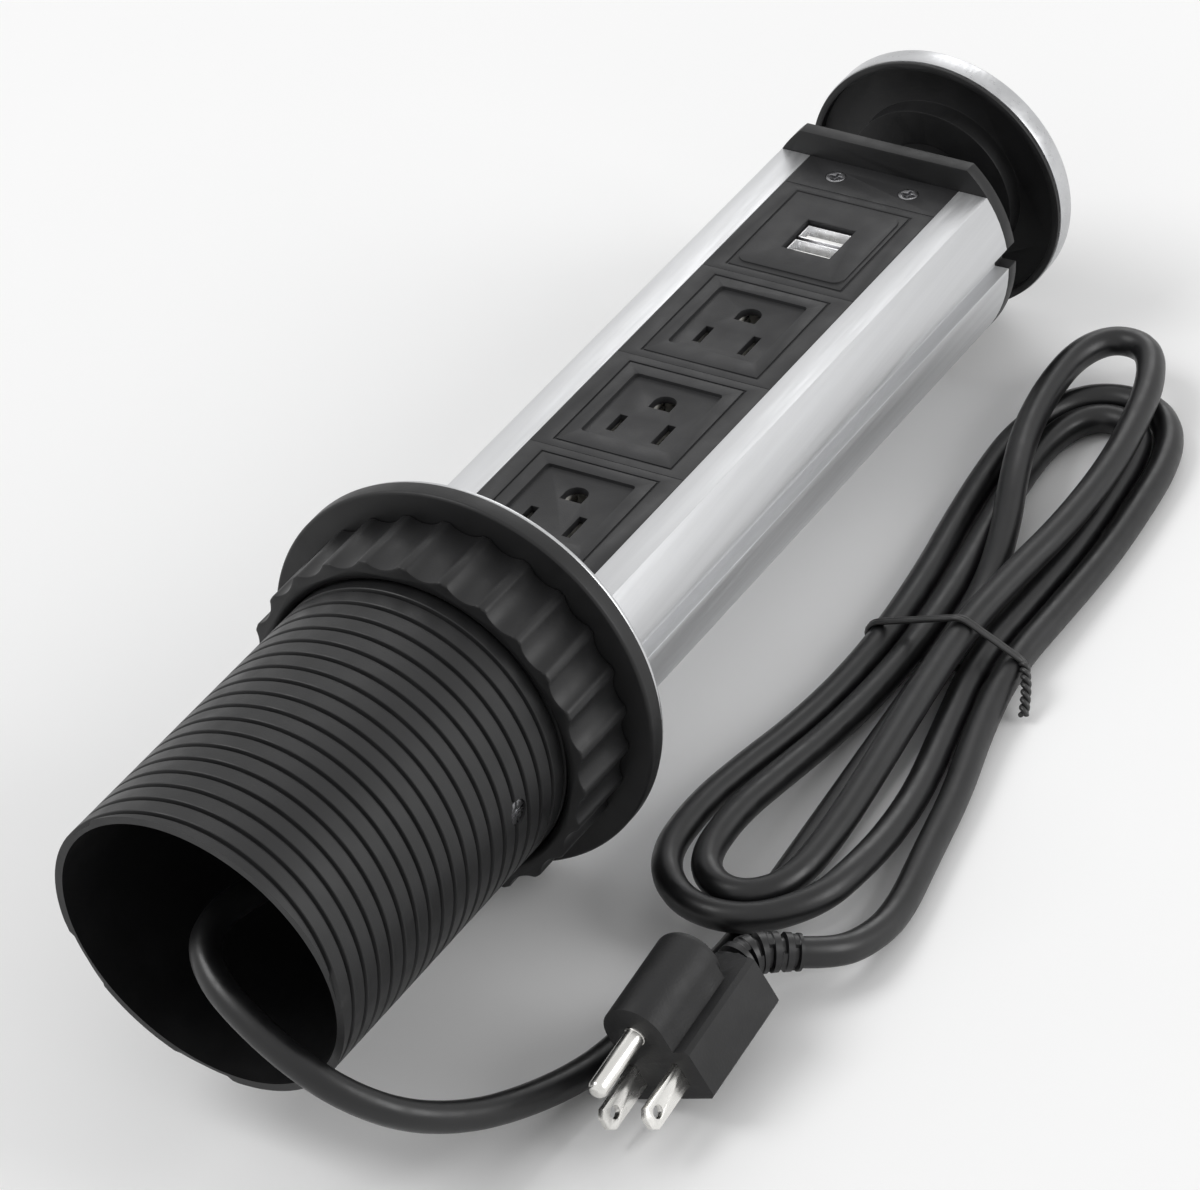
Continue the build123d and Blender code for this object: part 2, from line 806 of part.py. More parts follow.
def upper_blank():
    """Blank panel between the charger and the top plate, held by two screws."""
    panel = tray(upper_blank_low, tower_top, open_high=True)
    for x, y in panel_screw_places():
        hole = panel_screw_shaft_radius + slip_gap
        panel -= post(hole, x, y, tray_roof - overrun, panel_height + overrun)
        pocket = panel_height - panel_screw_head_height
        panel -= post(panel_screw_head_radius + slip_gap, x, y, pocket, panel_height + overrun)
    return panel


def panel_screws():
    group = []
    for x, y in panel_screw_places():
        low = panel_height - panel_screw_head_height + seat_gap
        screw = post(panel_screw_head_radius, x, y, low, panel_height)
        screw += post(panel_screw_shaft_radius, x, y, panel_height - panel_screw_length, low)
        reach = panel_screw_head_radius * drive_reach_share
        half = drive_slot_width / 2
        for size in ((reach, half), (half, reach)):
            slot_low = (x - size[0], y - size[1], panel_height - drive_slot_depth)
            screw -= block(slot_low, (x + size[0], y + size[1], panel_height + overrun))
        group.append(screw)
    return Compound(children=group)


def lower_blank():
    """Blank panel from the last outlet down to the stop plate."""
    return tray(tower_bottom, module_lows[0], open_low=True)


def cap_stem():
    """Hollow neck that carries the cap on the top plate."""
    low = cap_top_plate + seat_gap
    high = boss_low - seat_gap
    outer_wall = stem_radius - stem_wall
    bore = cap_screw_radius + slip_gap
    outline = [(low, stem_core_radius), (low, bore), (high, bore), (high, stem_radius)]
    outline += [(low, stem_radius), (low, outer_wall), (high - stem_roof, outer_wall)]
    outline.append((high - stem_roof, stem_core_radius))
    return turned(outline)


def cap_base():
    """Dished underside of the cap with its boss and rim."""
    floor_top = cap_floor + cap_floor_thickness
    bore = cap_screw_radius + slip_gap
    seat = cap_ring_seat - seat_gap
    pocket = floor_top - cap_screw_head_height - slip_gap
    head = cap_screw_head_radius + slip_gap
    rim_top = cap_ring_low - seat_gap
    outline = [(boss_low, bore), (boss_low, boss_radius), (cap_floor, boss_radius)]
    outline += [(cap_floor, cap_rim_inner), (cap_rim_low, cap_rim_inner), (cap_rim_low, cap_rim_outer)]
    outline += [(rim_top, cap_rim_outer), (rim_top, seat), (floor_top, seat), (floor_top, head)]
    outline += [(pocket, head), (pocket, bore)]
    return turned(outline)


def cap_ring():
    """Bright ring round the cap."""
    lip = cap_ring_top - cap_ring_lip
    outline = [(cap_ring_low, cap_ring_seat), (cap_ring_low, cap_ring_radius)]
    outline += [(cap_ring_top, cap_ring_radius), (cap_ring_top, cap_ring_lip_radius)]
    outline += [(lip, cap_ring_lip_radius), (lip, cap_ring_seat)]
    return turned(outline, (((cap_ring_top, cap_ring_radius), cap_ring_round),))


def cap_cover():
    """Disc on top of the cap, held under the ring's lip."""
    low = cap_floor + cap_floor_thickness + seat_gap
    lip = cap_ring_top - cap_ring_lip - seat_gap
    inner = cap_ring_lip_radius - seat_gap
    top = cap_ring_top + cap_crown
    return turned([(low, 0), (low, cap_ring_seat - slip_gap), (lip, cap_ring_seat - slip_gap), (lip, inner),
                   (cap_ring_top, inner), (top, inner - cap_ring_lip), (top, 0)])


def cap_screw():
    """Screw that draws the cap and its neck down on the top plate."""
    top = cap_floor + cap_floor_thickness - slip_gap
    screw = rod(cap_screw_head_radius, top - cap_screw_head_height + seat_gap, top)
    screw += rod(cap_screw_radius, cap_top_plate - cap_screw_bite, top - cap_screw_head_height)
    screw += rod(cap_screw_radius, top - cap_screw_head_height, top - seat_gap)
    return screw - cross_drive(0, cap_screw_head_radius * drive_reach_share, top, drive_slot_depth)


def gland():
    """Ribbed gland that grips the lead where it leaves the stop plate."""
    face = stop_low - gland_flange_thickness
    bore = cord_radius + seat_gap
    run = face - gland_end
    step = run / gland_ribs
    outline = [(tower_bottom - seat_gap, bore), (tower_bottom - seat_gap, gland_collar_radius),
               (stop_low - seat_gap, gland_collar_radius), (stop_low - seat_gap, gland_flange_radius),
               (face, gland_flange_radius)]
    for rib in range(gland_ribs):
        near = face - rib * step
        radius = gland_root_radius + (gland_tip_radius - gland_root_radius) * rib / gland_ribs
        outline.append((near, radius))
        outline.append((near - step * gland_rib_share, radius))
        outline.append((near - step * gland_rib_share, radius - gland_rib_depth))
        outline.append((near - step, radius - gland_rib_depth))
    outline.append((gland_end, bore))
    return turned(outline)


def inner_cord():
    """End of the lead inside the gland and the clamp."""
    return rod(cord_radius, gland_end, tower_bottom + inner_cord_length)


def core_wire(y, angle):
    """Insulated core from the end of the lead to the start of a bus strip."""
    start_x = tower_bottom + inner_cord_length
    core_y = core_pitch_radius * math.cos(math.radians(angle))
    core_z = core_pitch_radius * math.sin(math.radians(angle))
    end_z = channel_floor + seat_gap + strip_thickness / 2
    points = [(start_x, core_y, core_z), (start_x + core_straight, core_y, core_z),
              (strip_start - core_straight, y, end_z), (strip_start, y, end_z)]
    return tube(points, core_radius)


def bend_radii(points):
    """Radius of the arc at each corner of a route, as large as its two runs allow."""
    radii = []
    for before, corner, after in zip(points, points[1:], points[2:]):
        come = Vector(*corner) - Vector(*before)
        leave = Vector(*after) - Vector(*corner)
        half_turn = math.radians(come.get_angle(leave)) / 2
        radii.append(bend_share * min(come.length, leave.length) / math.tan(half_turn))
    return radii


def tube(points, radius):
    """Round tube along straight runs joined by tangent arcs."""
    path = FilletPolyline(*points, radius=bend_radii(points))
    section = Plane(origin=path @ 0, z_dir=path % 0) * Circle(radius)
    return sweep(section, path=path)


def tilt_angle():
    """Tilt that lets the flange's edge and the cap's edge both touch the ground."""
    along = (cap_ring_top - cap_ring_round) + flange_top_round
    across = (flange_radius - flange_top_round) - (cap_ring_radius - cap_ring_round)
    lean = math.atan2(across, along)
    return lean + math.asin((flange_top_round - cap_ring_round) / math.hypot(along, across))


def laid_down():
    """Placement of the straight object on the ground, its box centred on the origin."""
    angle = tilt_angle()
    turn = Rot(0, math.degrees(angle), 0)
    lowest = -flange_top_round - (flange_radius - flange_top_round) * math.cos(angle)
    lowest += flange_top_round * math.sin(angle)
    mouth = (turn * sleeve()).bounding_box()
    cap = (turn * cap_ring()).bounding_box()
    return Pos(-(mouth.min.X + cap.max.X) / 2, 0, -lowest) * turn


def hank_frame():
    return Pos(*hank_middle, 0) * Rot(0, 0, hank_turn)


def tail_start():
    return (-right_bulge, -tail_spread, strand_height)


def tail_heading():
    lean = math.radians(tail_lean)
    return (-math.cos(lean), -math.sin(lean), 0)


def hank_knots():
    """Places and headings that the hank's strand passes: ends, waists, bulges and turns."""
    waist_low = strand_height + tie_lift
    waist_high = waist_low + strand_pitch * math.sin(math.radians(stack_angle))
    high = strand_height + raised_height_step
    half = strand_pitch / 2
    ahead = (1, 0, 0)
    back = (-1, 0, 0)
    knots = [((-hank_start, 0, strand_height), ahead)]
    for turn in range(hank_turns):
        offset = strand_pitch * turn
        radius = top_inner_radius + offset
        last = turn == hank_turns - 1
        knots.append(((0, offset, waist_low), ahead))
        knots.append(((top_centre, radius, strand_height), ahead))
        knots.append(((top_centre + radius, 0, strand_height), (0, -1, 0)))
        knots.append(((top_centre, -radius, strand_height), back))
        raised = turn == 0
        lift = bulge_lift if raised else 0
        knots.append(((right_bulge, -right_bulge_width - offset, strand_height + lift), back))
        knots.append(((0, -half if raised else -offset, waist_high if raised else waist_low), back))
        if last:
            knots.append((tail_start(), tail_heading()))
            break
        mid_height = high if raised else strand_height
        knots.append(((-right_bulge, -right_bulge_width - offset, mid_height), back))
        knots.append(((-bottom_centre, -bottom_right_radius - offset, high), back))
        knots.append(((-bottom_centre - bottom_right_radius - offset, 0, high), (0, 1, 0)))
        knots.append(((-bottom_centre, bottom_left_radius + offset, high), ahead))
    return knots


def biarc(start, heading, end, end_heading):
    """Two arcs that leave start along heading and meet end along end_heading."""
    span = end - start
    total = heading + end_heading
    ease = 2 * (1 - heading.dot(end_heading))
    reach = span.dot(total)
    if ease < even_share:
        step = span.dot(span) / (2 * reach) if reach else 0
    else:
        step = (math.sqrt(reach * reach + ease * span.dot(span)) - reach) / ease
    joint = (start + heading * step + end - end_heading * step) * 0.5
    return [arc_or_line(start, heading, joint), arc_to(joint, end, end_heading)]


def arc_or_line(start, heading, end):
    if heading.cross(end - start).length < straight_limit:
        return Line(start, end)
    return TangentArc(start, end, tangent=heading)


def arc_to(start, end, end_heading):
    """Arc that ends along end_heading, drawn backwards from its end and turned round."""
    if end_heading.cross(end - start).length < straight_limit:
        return Line(start, end)
    middle = TangentArc(end, start, tangent=end_heading * -1) @ 0.5
    return ThreePointArc(start, middle, end)


def hank_path():
    knots = [(Vector(*place), Vector(*heading)) for place, heading in hank_knots()]
    pieces = []
    for (start, heading), (end, end_heading) in zip(knots, knots[1:]):
        pieces += biarc(start, heading, end, end_heading)
    return Wire(pieces)


def least_gap(path, radius):
    """Least gap of a tube to itself, measured between points along its path."""
    count = int(path.length / (radius / 2))
    points = [path @ (step / count) for step in range(count + 1)]
    skip = int(6 * radius / (path.length / count))
    gap = path.length
    for place, point in enumerate(points):
        for other in points[place + skip:]:
            gap = min(gap, (point - other).length)
    return gap - 2 * radius


def hank():
    path = hank_path()
    section = Plane(origin=path @ 0, z_dir=path % 0) * Circle(cord_radius)
    solid = sweep(section, path=path)
    print("hank length", round(path.length, 1), "least gap", round(least_gap(path, cord_radius), 2))
    print("hank volume share", round(solid.volume / (math.pi * cord_radius ** 2 * path.length), 4))
    return hank_frame() * solid


def hank_tie():
    """Thin tie round the hank's waist with its ends twisted together."""
    low = strand_height + tie_lift - cord_radius - tie_radius - slip_gap
    clear = cord_radius + tie_radius + loose_gap
    side = strand_pitch * (hank_turns - 1) + clear
    shoulder = strand_height + tie_lift + clear
    peak = strand_height + tie_lift + strand_pitch * math.sin(math.radians(stack_angle)) + clear
    half = strand_pitch / 2
    points = [(0, side, low), (0, side, shoulder), (0, half, peak), (0, -3 * half, peak),
              (0, -side, shoulder), (0, -side, low)]
    path = FilletPolyline(*points, radius=tie_corner, close=True)
    section = Plane(origin=path @ 0, z_dir=path % 0) * Circle(tie_radius)
    loop = sweep(section, path=path)
    knot = Pos(0, -side, shoulder - tie_corner) * Rot(60, 0, 0)
    twist = Cylinder(tie_twist_radius, tie_twist_length, align=(Align.CENTER, Align.CENTER, Align.MIN))
    return hank_frame() * (loop + knot * twist)


def plug_frame():
    """Plug pieces are drawn with x out along the blades, y from blade to blade, z to the ground pin."""
    heading = Rot(0, 0, 180)
    pitch = Rot(0, plug_pitch, 0)
    return Pos(*plug_root) * heading * pitch * Rot(-plug_roll, 0, 0)


def facing(x, z):
    """Section plane across the plug."""
    return Plane(origin=(x, 0, z), x_dir=(0, 1, 0), z_dir=(1, 0, 0))


def plug_body():
    """Moulded plug: a flat block with a rounded ridge over the ground pin and a tapered back."""
    body = block((-block_length, -block_half_width, block_low), (0, block_half_width, block_top))
    body = chamfer(body.edges().filter_by(Axis.X), block_edge)
    wide = Rectangle(2 * (block_half_width - block_edge), block_top - block_low - 2 * block_edge)
    narrow = Rectangle(2 * relief_root_radius, 2 * relief_root_radius)
    middle = (block_top + block_low) / 2
    back = loft([facing(-block_length, middle) * wide,
                 facing(-block_length - shoulder_length, 0) * narrow], ruled=True)
    ridge = rod(dome_radius, -dome_length, 0, 0, ground_offset)
    ridge = fillet(ridge.edges().filter_by(GeomType.CIRCLE).sort_by(Axis.X)[0], dome_edge)
    ridge += block((-dome_length + dome_edge, -dome_radius, 0), (0, dome_radius, ground_offset))
    body = body + back + ridge
    for side in (1, -1):
        y = side * blade_spacing / 2
        half = plug_blade_thickness / 2 + seat_gap
        tall = plug_blade_width / 2 + seat_gap
        body -= block((-blade_bury - seat_gap, y - half, -tall), (overrun, y + half, tall))
    root = ground_pin_radius + ground_pin_root_step + seat_gap
    body -= rod(root, -blade_bury - seat_gap, overrun, 0, ground_offset)
    return body


def plug_blades():
    """Two flat blades with chamfered tips and a hole near the tip."""
    group = []
    half = plug_blade_thickness / 2
    tall = plug_blade_width / 2
    for side in (1, -1):
        y = side * blade_spacing / 2
        blade = block((-blade_bury, y - half, -tall), (plug_blade_length, y + half, tall))
        tips = blade.faces().sort_by(Axis.X)[-1].edges().filter_by(Axis.Y)
        blade = chamfer(tips, plug_blade_tip)
        hole = Cylinder(blade_hole_radius, 4 * plug_blade_thickness)
        blade -= Pos(plug_blade_length - blade_hole_inset, y, 0) * Rot(90, 0, 0) * hole
        group.append(blade)
    return Compound(children=group)


def plug_ground_pin():
    """Round ground pin with a rounded tip and a thicker root that ends in a low collar."""
    pin = rod(ground_pin_radius, ground_pin_collar, ground_pin_length, 0, ground_offset)
    tip = pin.edges().filter_by(GeomType.CIRCLE).sort_by(Axis.X)[-1]
    root = ground_pin_radius + ground_pin_root_step
    return fillet(tip, ground_pin_tip) + rod(root, -blade_bury, ground_pin_collar, 0, ground_offset)


def relief_route():
    """Line of the strain relief: out of the plug's back and over to the lead."""
    back = plug_frame() * Pos(-block_length - shoulder_length, 0, 0)
    start = back.position
    straight = back * Pos(-relief_straight, 0, 0)
    return [start, straight.position] + [Vector(*place) for place in relief_points]


def strain_relief():
    """Ribbed, tapered strain relief between the plug and the lead."""
    path = FilletPolyline(*relief_route(), radius=bend_radii([tuple(place) for place in relief_route()]))
    sections = []
    count = 2 * relief_ribs
    for step in range(count + 1):
        share = step / count
        radius = relief_root_radius + (relief_tip_radius - relief_root_radius) * share
        waist = radius * (relief_groove_share if step % 2 else 1)
        plane = Plane(origin=path @ share, z_dir=path % share)
        sections.append(plane * Circle(waist))
    return loft(sections, ruled=True)


def lead_route():
    """Route of the lead from the gland to the hank."""
    placement = laid_down()
    start = (placement * Pos(gland_end, 0, 0)).position
    straight = (placement * Pos(gland_end - gland_straight, 0, 0)).position
    end = (hank_frame() * Pos(-hank_start, 0, strand_height)).position
    before = (hank_frame() * Pos(-hank_start - lead_end_run, 0, strand_height)).position
    return [tuple(start), tuple(straight), *lead_points, tuple(before), tuple(end)]


def tail_route():
    """Route of the lead from the hank to the plug's strain relief."""
    place = Vector(*tail_start())
    further = place + Vector(*tail_heading()) * tail_start_run
    start = (hank_frame() * Pos(*place)).position
    straight = (hank_frame() * Pos(*further)).position
    relief = relief_route()
    heading = (relief[-1] - relief[-2]).normalized()
    end = relief[-1]
    before = end + heading * 2 * cord_radius
    return [tuple(start), tuple(straight), *tail_points, tuple(before), tuple(end)]


def cord_run(name, points):
    """Tube of the lead along a route; its radii and volume are printed."""
    radii = [round(radius, 1) for radius in bend_radii(points)]
    path = FilletPolyline(*points, radius=bend_radii(points))
    solid = tube(points, cord_radius)
    share = solid.volume / (math.pi * cord_radius ** 2 * path.length)
    print(name, "length", round(path.length, 1), "radii", radii, "volume share", round(share, 4))
    return solid


def desk_parts():
    """Everything that is drawn straight and then tilted, by node name."""
    live_y, neutral_y = blade_spacing / 2, -blade_spacing / 2
    top = charger_low_x
    supply_end = top + supply_strip_overhang
    ground_end = top - ground_strip_overhang
    parts = {
        "threaded_sleeve": sleeve(), "flange_trim_ring": trim_ring(), "guide_bushing": bushing(),
        "friction_pads": pads(), "guide_screw": guide_screw(), "clamp_nut": clamp_nut(),
        "tower_extrusion": extrusion(), "top_end_plate": top_plate(), "bottom_stop_plate": stop_plate(),
        "end_plate_screws": plate_screws(), "upper_blank_panel": upper_blank(),
        "lower_blank_panel": lower_blank(), "panel_screws": panel_screws(),
        "live_bus_strip": bus_strip(live_y, blade_leaf_gap, -ground_offset / 2, supply_end),
        "neutral_bus_strip": bus_strip(neutral_y, blade_leaf_gap, -ground_offset / 2, supply_end),
        "ground_bus_strip": bus_strip(0, ground_leaf_gap, ground_offset / 2, ground_end),
        "charger_face": charger_face(), "charger_port_shells": port_shells(),
        "charger_port_tongues": port_tongues(), "charger_board": charger_board(),
        "charger_housing": charger_housing(), "charger_transformer": transformer(),
        "charger_capacitors": capacitors(), "live_wire": core_wire(live_y, live_core_angle),
        "neutral_wire": core_wire(neutral_y, neutral_core_angle),
        "ground_wire": core_wire(0, ground_core_angle),
        "cord_inner_end": inner_cord(), "cord_clamp": cord_clamp(), "clamp_screws": clamp_screws(),
        "cord_gland": gland(), "cap_stem": cap_stem(), "cap_base": cap_base(),
        "cap_trim_ring": cap_ring(), "cap_cover": cap_cover(), "cap_screw": cap_screw(),
    }
    for number, low in enumerate(module_lows, start=1):
        parts[f"socket_face_{number}"] = socket_face(low)
        parts[f"socket_housing_{number}"] = socket_housing(low)
    placement = laid_down()
    return {name: placement * shape for name, shape in parts.items()}


def lead_parts():
    """The lead, its hank and its plug, drawn where they lie, by node name."""
    return {
        "cord_lead": cord_run("lead", lead_route()), "cord_hank": hank(), "hank_tie": hank_tie(),
        "cord_tail": cord_run("tail", tail_route()), "plug_strain_relief": strain_relief(),
        "plug_body": plug_frame() * plug_body(), "plug_blades": plug_frame() * plug_blades(),
        "plug_ground_pin": plug_frame() * plug_ground_pin(),
    }


for node, shape in {**desk_parts(), **lead_parts()}.items():
    export_step(shape, f"parts/{node}.step")
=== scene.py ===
import json
import math

import bmesh
import bpy
from mathutils import Matrix, Vector

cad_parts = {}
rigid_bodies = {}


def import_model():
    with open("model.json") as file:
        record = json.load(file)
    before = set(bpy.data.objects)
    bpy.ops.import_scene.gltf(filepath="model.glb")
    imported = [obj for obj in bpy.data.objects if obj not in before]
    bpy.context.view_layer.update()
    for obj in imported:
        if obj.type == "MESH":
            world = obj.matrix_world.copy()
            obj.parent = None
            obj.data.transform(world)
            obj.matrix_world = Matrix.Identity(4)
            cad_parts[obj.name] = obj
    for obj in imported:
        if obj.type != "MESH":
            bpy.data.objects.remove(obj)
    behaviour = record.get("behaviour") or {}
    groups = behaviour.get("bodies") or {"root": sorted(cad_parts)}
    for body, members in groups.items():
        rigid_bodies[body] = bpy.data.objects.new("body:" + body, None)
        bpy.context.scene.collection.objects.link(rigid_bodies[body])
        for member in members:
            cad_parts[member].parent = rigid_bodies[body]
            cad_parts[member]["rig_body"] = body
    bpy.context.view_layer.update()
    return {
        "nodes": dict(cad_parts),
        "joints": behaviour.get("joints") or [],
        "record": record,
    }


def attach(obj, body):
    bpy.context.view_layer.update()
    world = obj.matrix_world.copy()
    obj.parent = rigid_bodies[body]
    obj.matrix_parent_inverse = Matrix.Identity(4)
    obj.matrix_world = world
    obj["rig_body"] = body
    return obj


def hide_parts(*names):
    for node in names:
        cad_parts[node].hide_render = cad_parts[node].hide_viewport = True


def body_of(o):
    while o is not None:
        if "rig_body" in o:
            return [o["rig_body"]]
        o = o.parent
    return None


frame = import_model()
NODES = frame["nodes"]

# Frame of the tower: the flange's top face, the axis towards the cap and the panel's normal
MM = 0.001
SLIDE = next(joint for joint in frame["joints"] if joint["name"] == "tower_slide")
ALONG = Vector(SLIDE["axis"]).normalized()
ACROSS = Vector((0, 1, 0))
OUTWARD = ALONG.cross(ACROSS)
FLANGE_FACE = Vector((-0.058331, 0, 0.050447))


def tower_matrix():
    """Maps places along the tower, across it and out of its panel to the frame."""
    rows = [[ALONG[row], ACROSS[row], OUTWARD[row], FLANGE_FACE[row]] for row in range(3)]
    return Matrix(rows + [[0, 0, 0, 1]])


TOWER = tower_matrix()


def in_tower(along, across, out):
    """Place in the frame from millimetres along the tower, across it and out of its panel."""
    return TOWER @ Vector((along * MM, across * MM, out * MM))


# Camera, its focal length in pixels of the photograph
PHOTO_WIDTH = 1200
FOCAL_PIXELS = 7187.4
SENSOR = 36.0
CAMERA_PLACE = Vector((-1.1198, -0.7504, 1.0858))
CAMERA_RIGHT = Vector((0.4913, -0.8658, -0.0954))
CAMERA_UP = Vector((0.5759, 0.2407, 0.7813))

# Lead, its routes in metres
CORD_RADIUS = 0.0037
HANK_MIDDLE = Vector((0.0377, -0.0705, 0))
HANK_TURN = math.radians(1.9)
LEAD_ROUTE = [
    (-0.13966, 0.0, 0.05566), (-0.14779, 0.0, 0.05618), (-0.1594, 0.004, 0.0568),
    (-0.1704, 0.0035, 0.0556), (-0.1779, -0.004, 0.053), (-0.1825, -0.0145, 0.0496),
    (-0.1847, -0.0265, 0.0438), (-0.1835, -0.038, 0.0366), (-0.1764, -0.0485, 0.0276),
    (-0.1624, -0.0562, 0.0184), (-0.1449, -0.0608, 0.0106), (-0.1269, -0.0646, 0.0052),
    (-0.1114, -0.0669, 0.004), (-0.0969, -0.0693, 0.0039), (-0.08073, -0.07443, 0.004),
    (-0.05825, -0.07368, 0.004),
]
TAIL_ROUTE = [
    (-0.00698, -0.096, 0.004), (-0.02674, -0.09909, 0.004), (-0.0509, -0.1034, 0.0042),
    (-0.0654, -0.1024, 0.0072), (-0.07433, -0.09936, 0.01057), (-0.0789, -0.0939, 0.0126),
]

# Turns of the hank in the order of the lead, in millimetres along it, across it and up
HANK_START = [(-30, 0.0, 5.2), (0, 0.0, 5.7)]
TOP_TURN = [
    (26, 1.5, 5.5), (44, 5.0, 8.8), (60, 10.0, 12.3), (78, 15.2, 12.3), (96, 17.4, 12.3),
    (112, 16.6, 12.3), (121, 10.5, 12.3), (120, 0.5, 12.3), (108, -5.5, 12.3), (90, -8.8, 12.3),
    (70, -10.6, 12.3), (46, -9.5, 12.3), (26, -6.5, 12.4), (0, -4.1, 12.8), (-26, -5.0, 12.5),
    (-50, -6.6, 12.3), (-76, -8.0, 12.3), (-95.7, -7.0, 12.3), (-104.0, -0.2, 12.3),
    (-104.0, 9.2, 12.3), (-95.7, 16.5, 12.3), (-78, 16.8, 12.0), (-60, 14.5, 9.8),
    (-42, 12.0, 7.4), (-22, 9.5, 6.2), (0, 8.25, 5.7),
]
INNER_TURN = [
    (26, 9.6, 4.8), (50, 12.4, 4.0), (70, 13.6, 4.0), (84, 13.4, 4.0), (94.5, 10.5, 4.0),
    (99.8, 5.0, 4.0), (99.8, -2.5, 4.0), (94.5, -7.8, 4.0), (84, -9.8, 4.0), (70, -10.6, 4.0),
    (50, -11.0, 4.0), (26, -9.9, 4.8), (0, -8.25, 5.7), (-26, -12.0, 4.9), (-48, -15.8, 5.2),
    (-68, -17.6, 7.6), (-86, -17.8, 11.2), (-100.0, -15.3, 12.3), (-112.3, -3.4, 12.3),
    (-112.3, 13.4, 12.3), (-100.0, 25.3, 12.3), (-80, 26.0, 12.0), (-60, 23.5, 9.6),
    (-42, 20.5, 7.2), (-22, 17.8, 6.0), (0, 16.5, 5.7),
]
OUTER_TURN = [
    (26, 17.9, 4.8), (50, 20.7, 4.0), (70, 21.9, 4.0), (86, 21.7, 4.0), (99.5, 17.0, 4.0),
    (108.2, 8.0, 4.0), (108.2, -5.5, 4.0), (99.5, -14.3, 4.0), (86, -18.0, 4.0), (70, -18.9, 4.0),
    (50, -19.3, 4.0), (26, -18.1, 4.8), (0, -16.5, 5.7), (-22, -19.0, 4.8),
]
HANK_ROUTE = HANK_START + TOP_TURN + INNER_TURN + OUTER_TURN

# Sleeve, in millimetres along and out from the tower's axis
SLEEVE_CREST = 38.9
SLEEVE_BORE = 36.9
SLEEVE_LENGTH = 118.5
MOUTH_SIDE_SLOPE = 0.075
MOUTH_HEIGHT_SLOPE = -0.134
FLANGE_RADIUS = 50.6
FLANGE_THICKNESS = 5.0
FLANGE_TOP_ROUND = 0.8
FLANGE_LOWER_ROUND = 0.8
THREAD_START = 11.0
THREAD_PITCH = 5.42
THREAD_GROOVE = 1.35
THREAD_DEPTH = 0.95
THREAD_EDGE = 0.2
THREAD_EDGE_DROP = 0.13
THREAD_TURNS = 22
# The groove reaches its depth in a third of a turn
THREAD_RUN_IN = 3
SLEEVE_STEPS = 168
SCREW_DEPTH = 45.0
SCREW_HEIGHT = 1.5
SCREW_POCKET_RADIUS = 3.1
SCREW_POCKET_FLOOR = 37.5
SCREW_POCKET_SIDES = 48

# Charger ports, in millimetres along, across and out of the tower
PORT_CENTRE = 170.09
PORT_SPACING = 6.9
TONGUE_OFFSET = 0.7
TONGUE_HALF = 0.9
CONTACT_PLACES = (-3.5, -1.0, 1.0, 3.5)
CONTACT_HALF_WIDTH = 0.5
CONTACT_DEPTH = 0.06
CONTACT_LOW = 8.2
CONTACT_TOP = 15.9

# Tie round the hank's waist, in millimetres along the hank, across it and up
TIE_WRAPPED = [(16.5, 5.7), (-4.1, 12.8), (-16.5, 5.7)]
TIE_WIRE_RADIUS = 0.65
TIE_REACH = 4.5
TIE_ARC_STEPS = 10
TIE_SPREAD = 0.75
TIE_END_ROUTE = [(0.0, -20.6, 8.2), (-3.0, -22.4, 7.6), (-7.0, -24.2, 5.0), (-11.5, -25.4, 2.4)]
TIE_TWIST_RADIUS = 0.7
TIE_TWIST_TURNS = 3.5
TIE_TWIST_STEPS = 72

# Plug and its strain relief: places in metres, radii in millimetres, ribs as shares of their length
PLUG_ROOT = Vector((-0.1273, -0.0842, 0.0119))
PLUG_HEADING = Vector((-0.995396, 0, -0.095846))
RELIEF_START = 0.0342
RELIEF_STRAIGHT = 0.0032
RELIEF_ROUTE = [(-0.0860, -0.0860, 0.0152), (-0.0825, -0.0896, 0.0142), (-0.0789, -0.0939, 0.0126)]
RELIEF_ROOT_RADIUS = 5.4
RELIEF_TIP_RADIUS = 4.4
RELIEF_RIBS = 6
RELIEF_GROOVE_HALF = 0.18
RELIEF_GROOVE_EDGE = 0.06
RELIEF_PLAIN_END = 0.97
# Cosine of the angle to which a bridge reaches round
RELIEF_BRIDGE_REACH = 0.86
RELIEF_STEPS = 120
RELIEF_SIDES = 48
RELIEF_GROOVE_SHARE = 0.74
RELIEF_BRIDGE_SHARE = 0.94

# Meshes: what counts as one vertex in metres, and as a sharp edge in degrees
CAD_WELD = 0.000004
GRID_WELD = 0.000002
FLAT_ANGLE = 1.0
NODE_EDGE_ANGLE = 32.0
GRID_EDGE_ANGLE = 38.0
THREAD_EDGE_ANGLE = 28.0
BEVEL_SEGMENTS = 2
ROUTE_STEPS = 24

# Light: the world's strength on the object and where the camera or metal sees it
WORLD_ON_OBJECT = 0.55
WORLD_SEEN = 0.82
FLOOR_REACH = 6.0
# Place, aim, size in metres and power in watts of each lamp
LAMPS = {
    "key": ((-0.6, 1.2, 1.8), (0, 0, 0), 1.2, 17),
    "fill": ((0.5, -1.6, 0.9), (-0.1, 0, 0.03), 1.2, 13),
    "rim": ((1.6, 0.4, 0.9), (0, 0, 0.03), 0.9, 4),
}

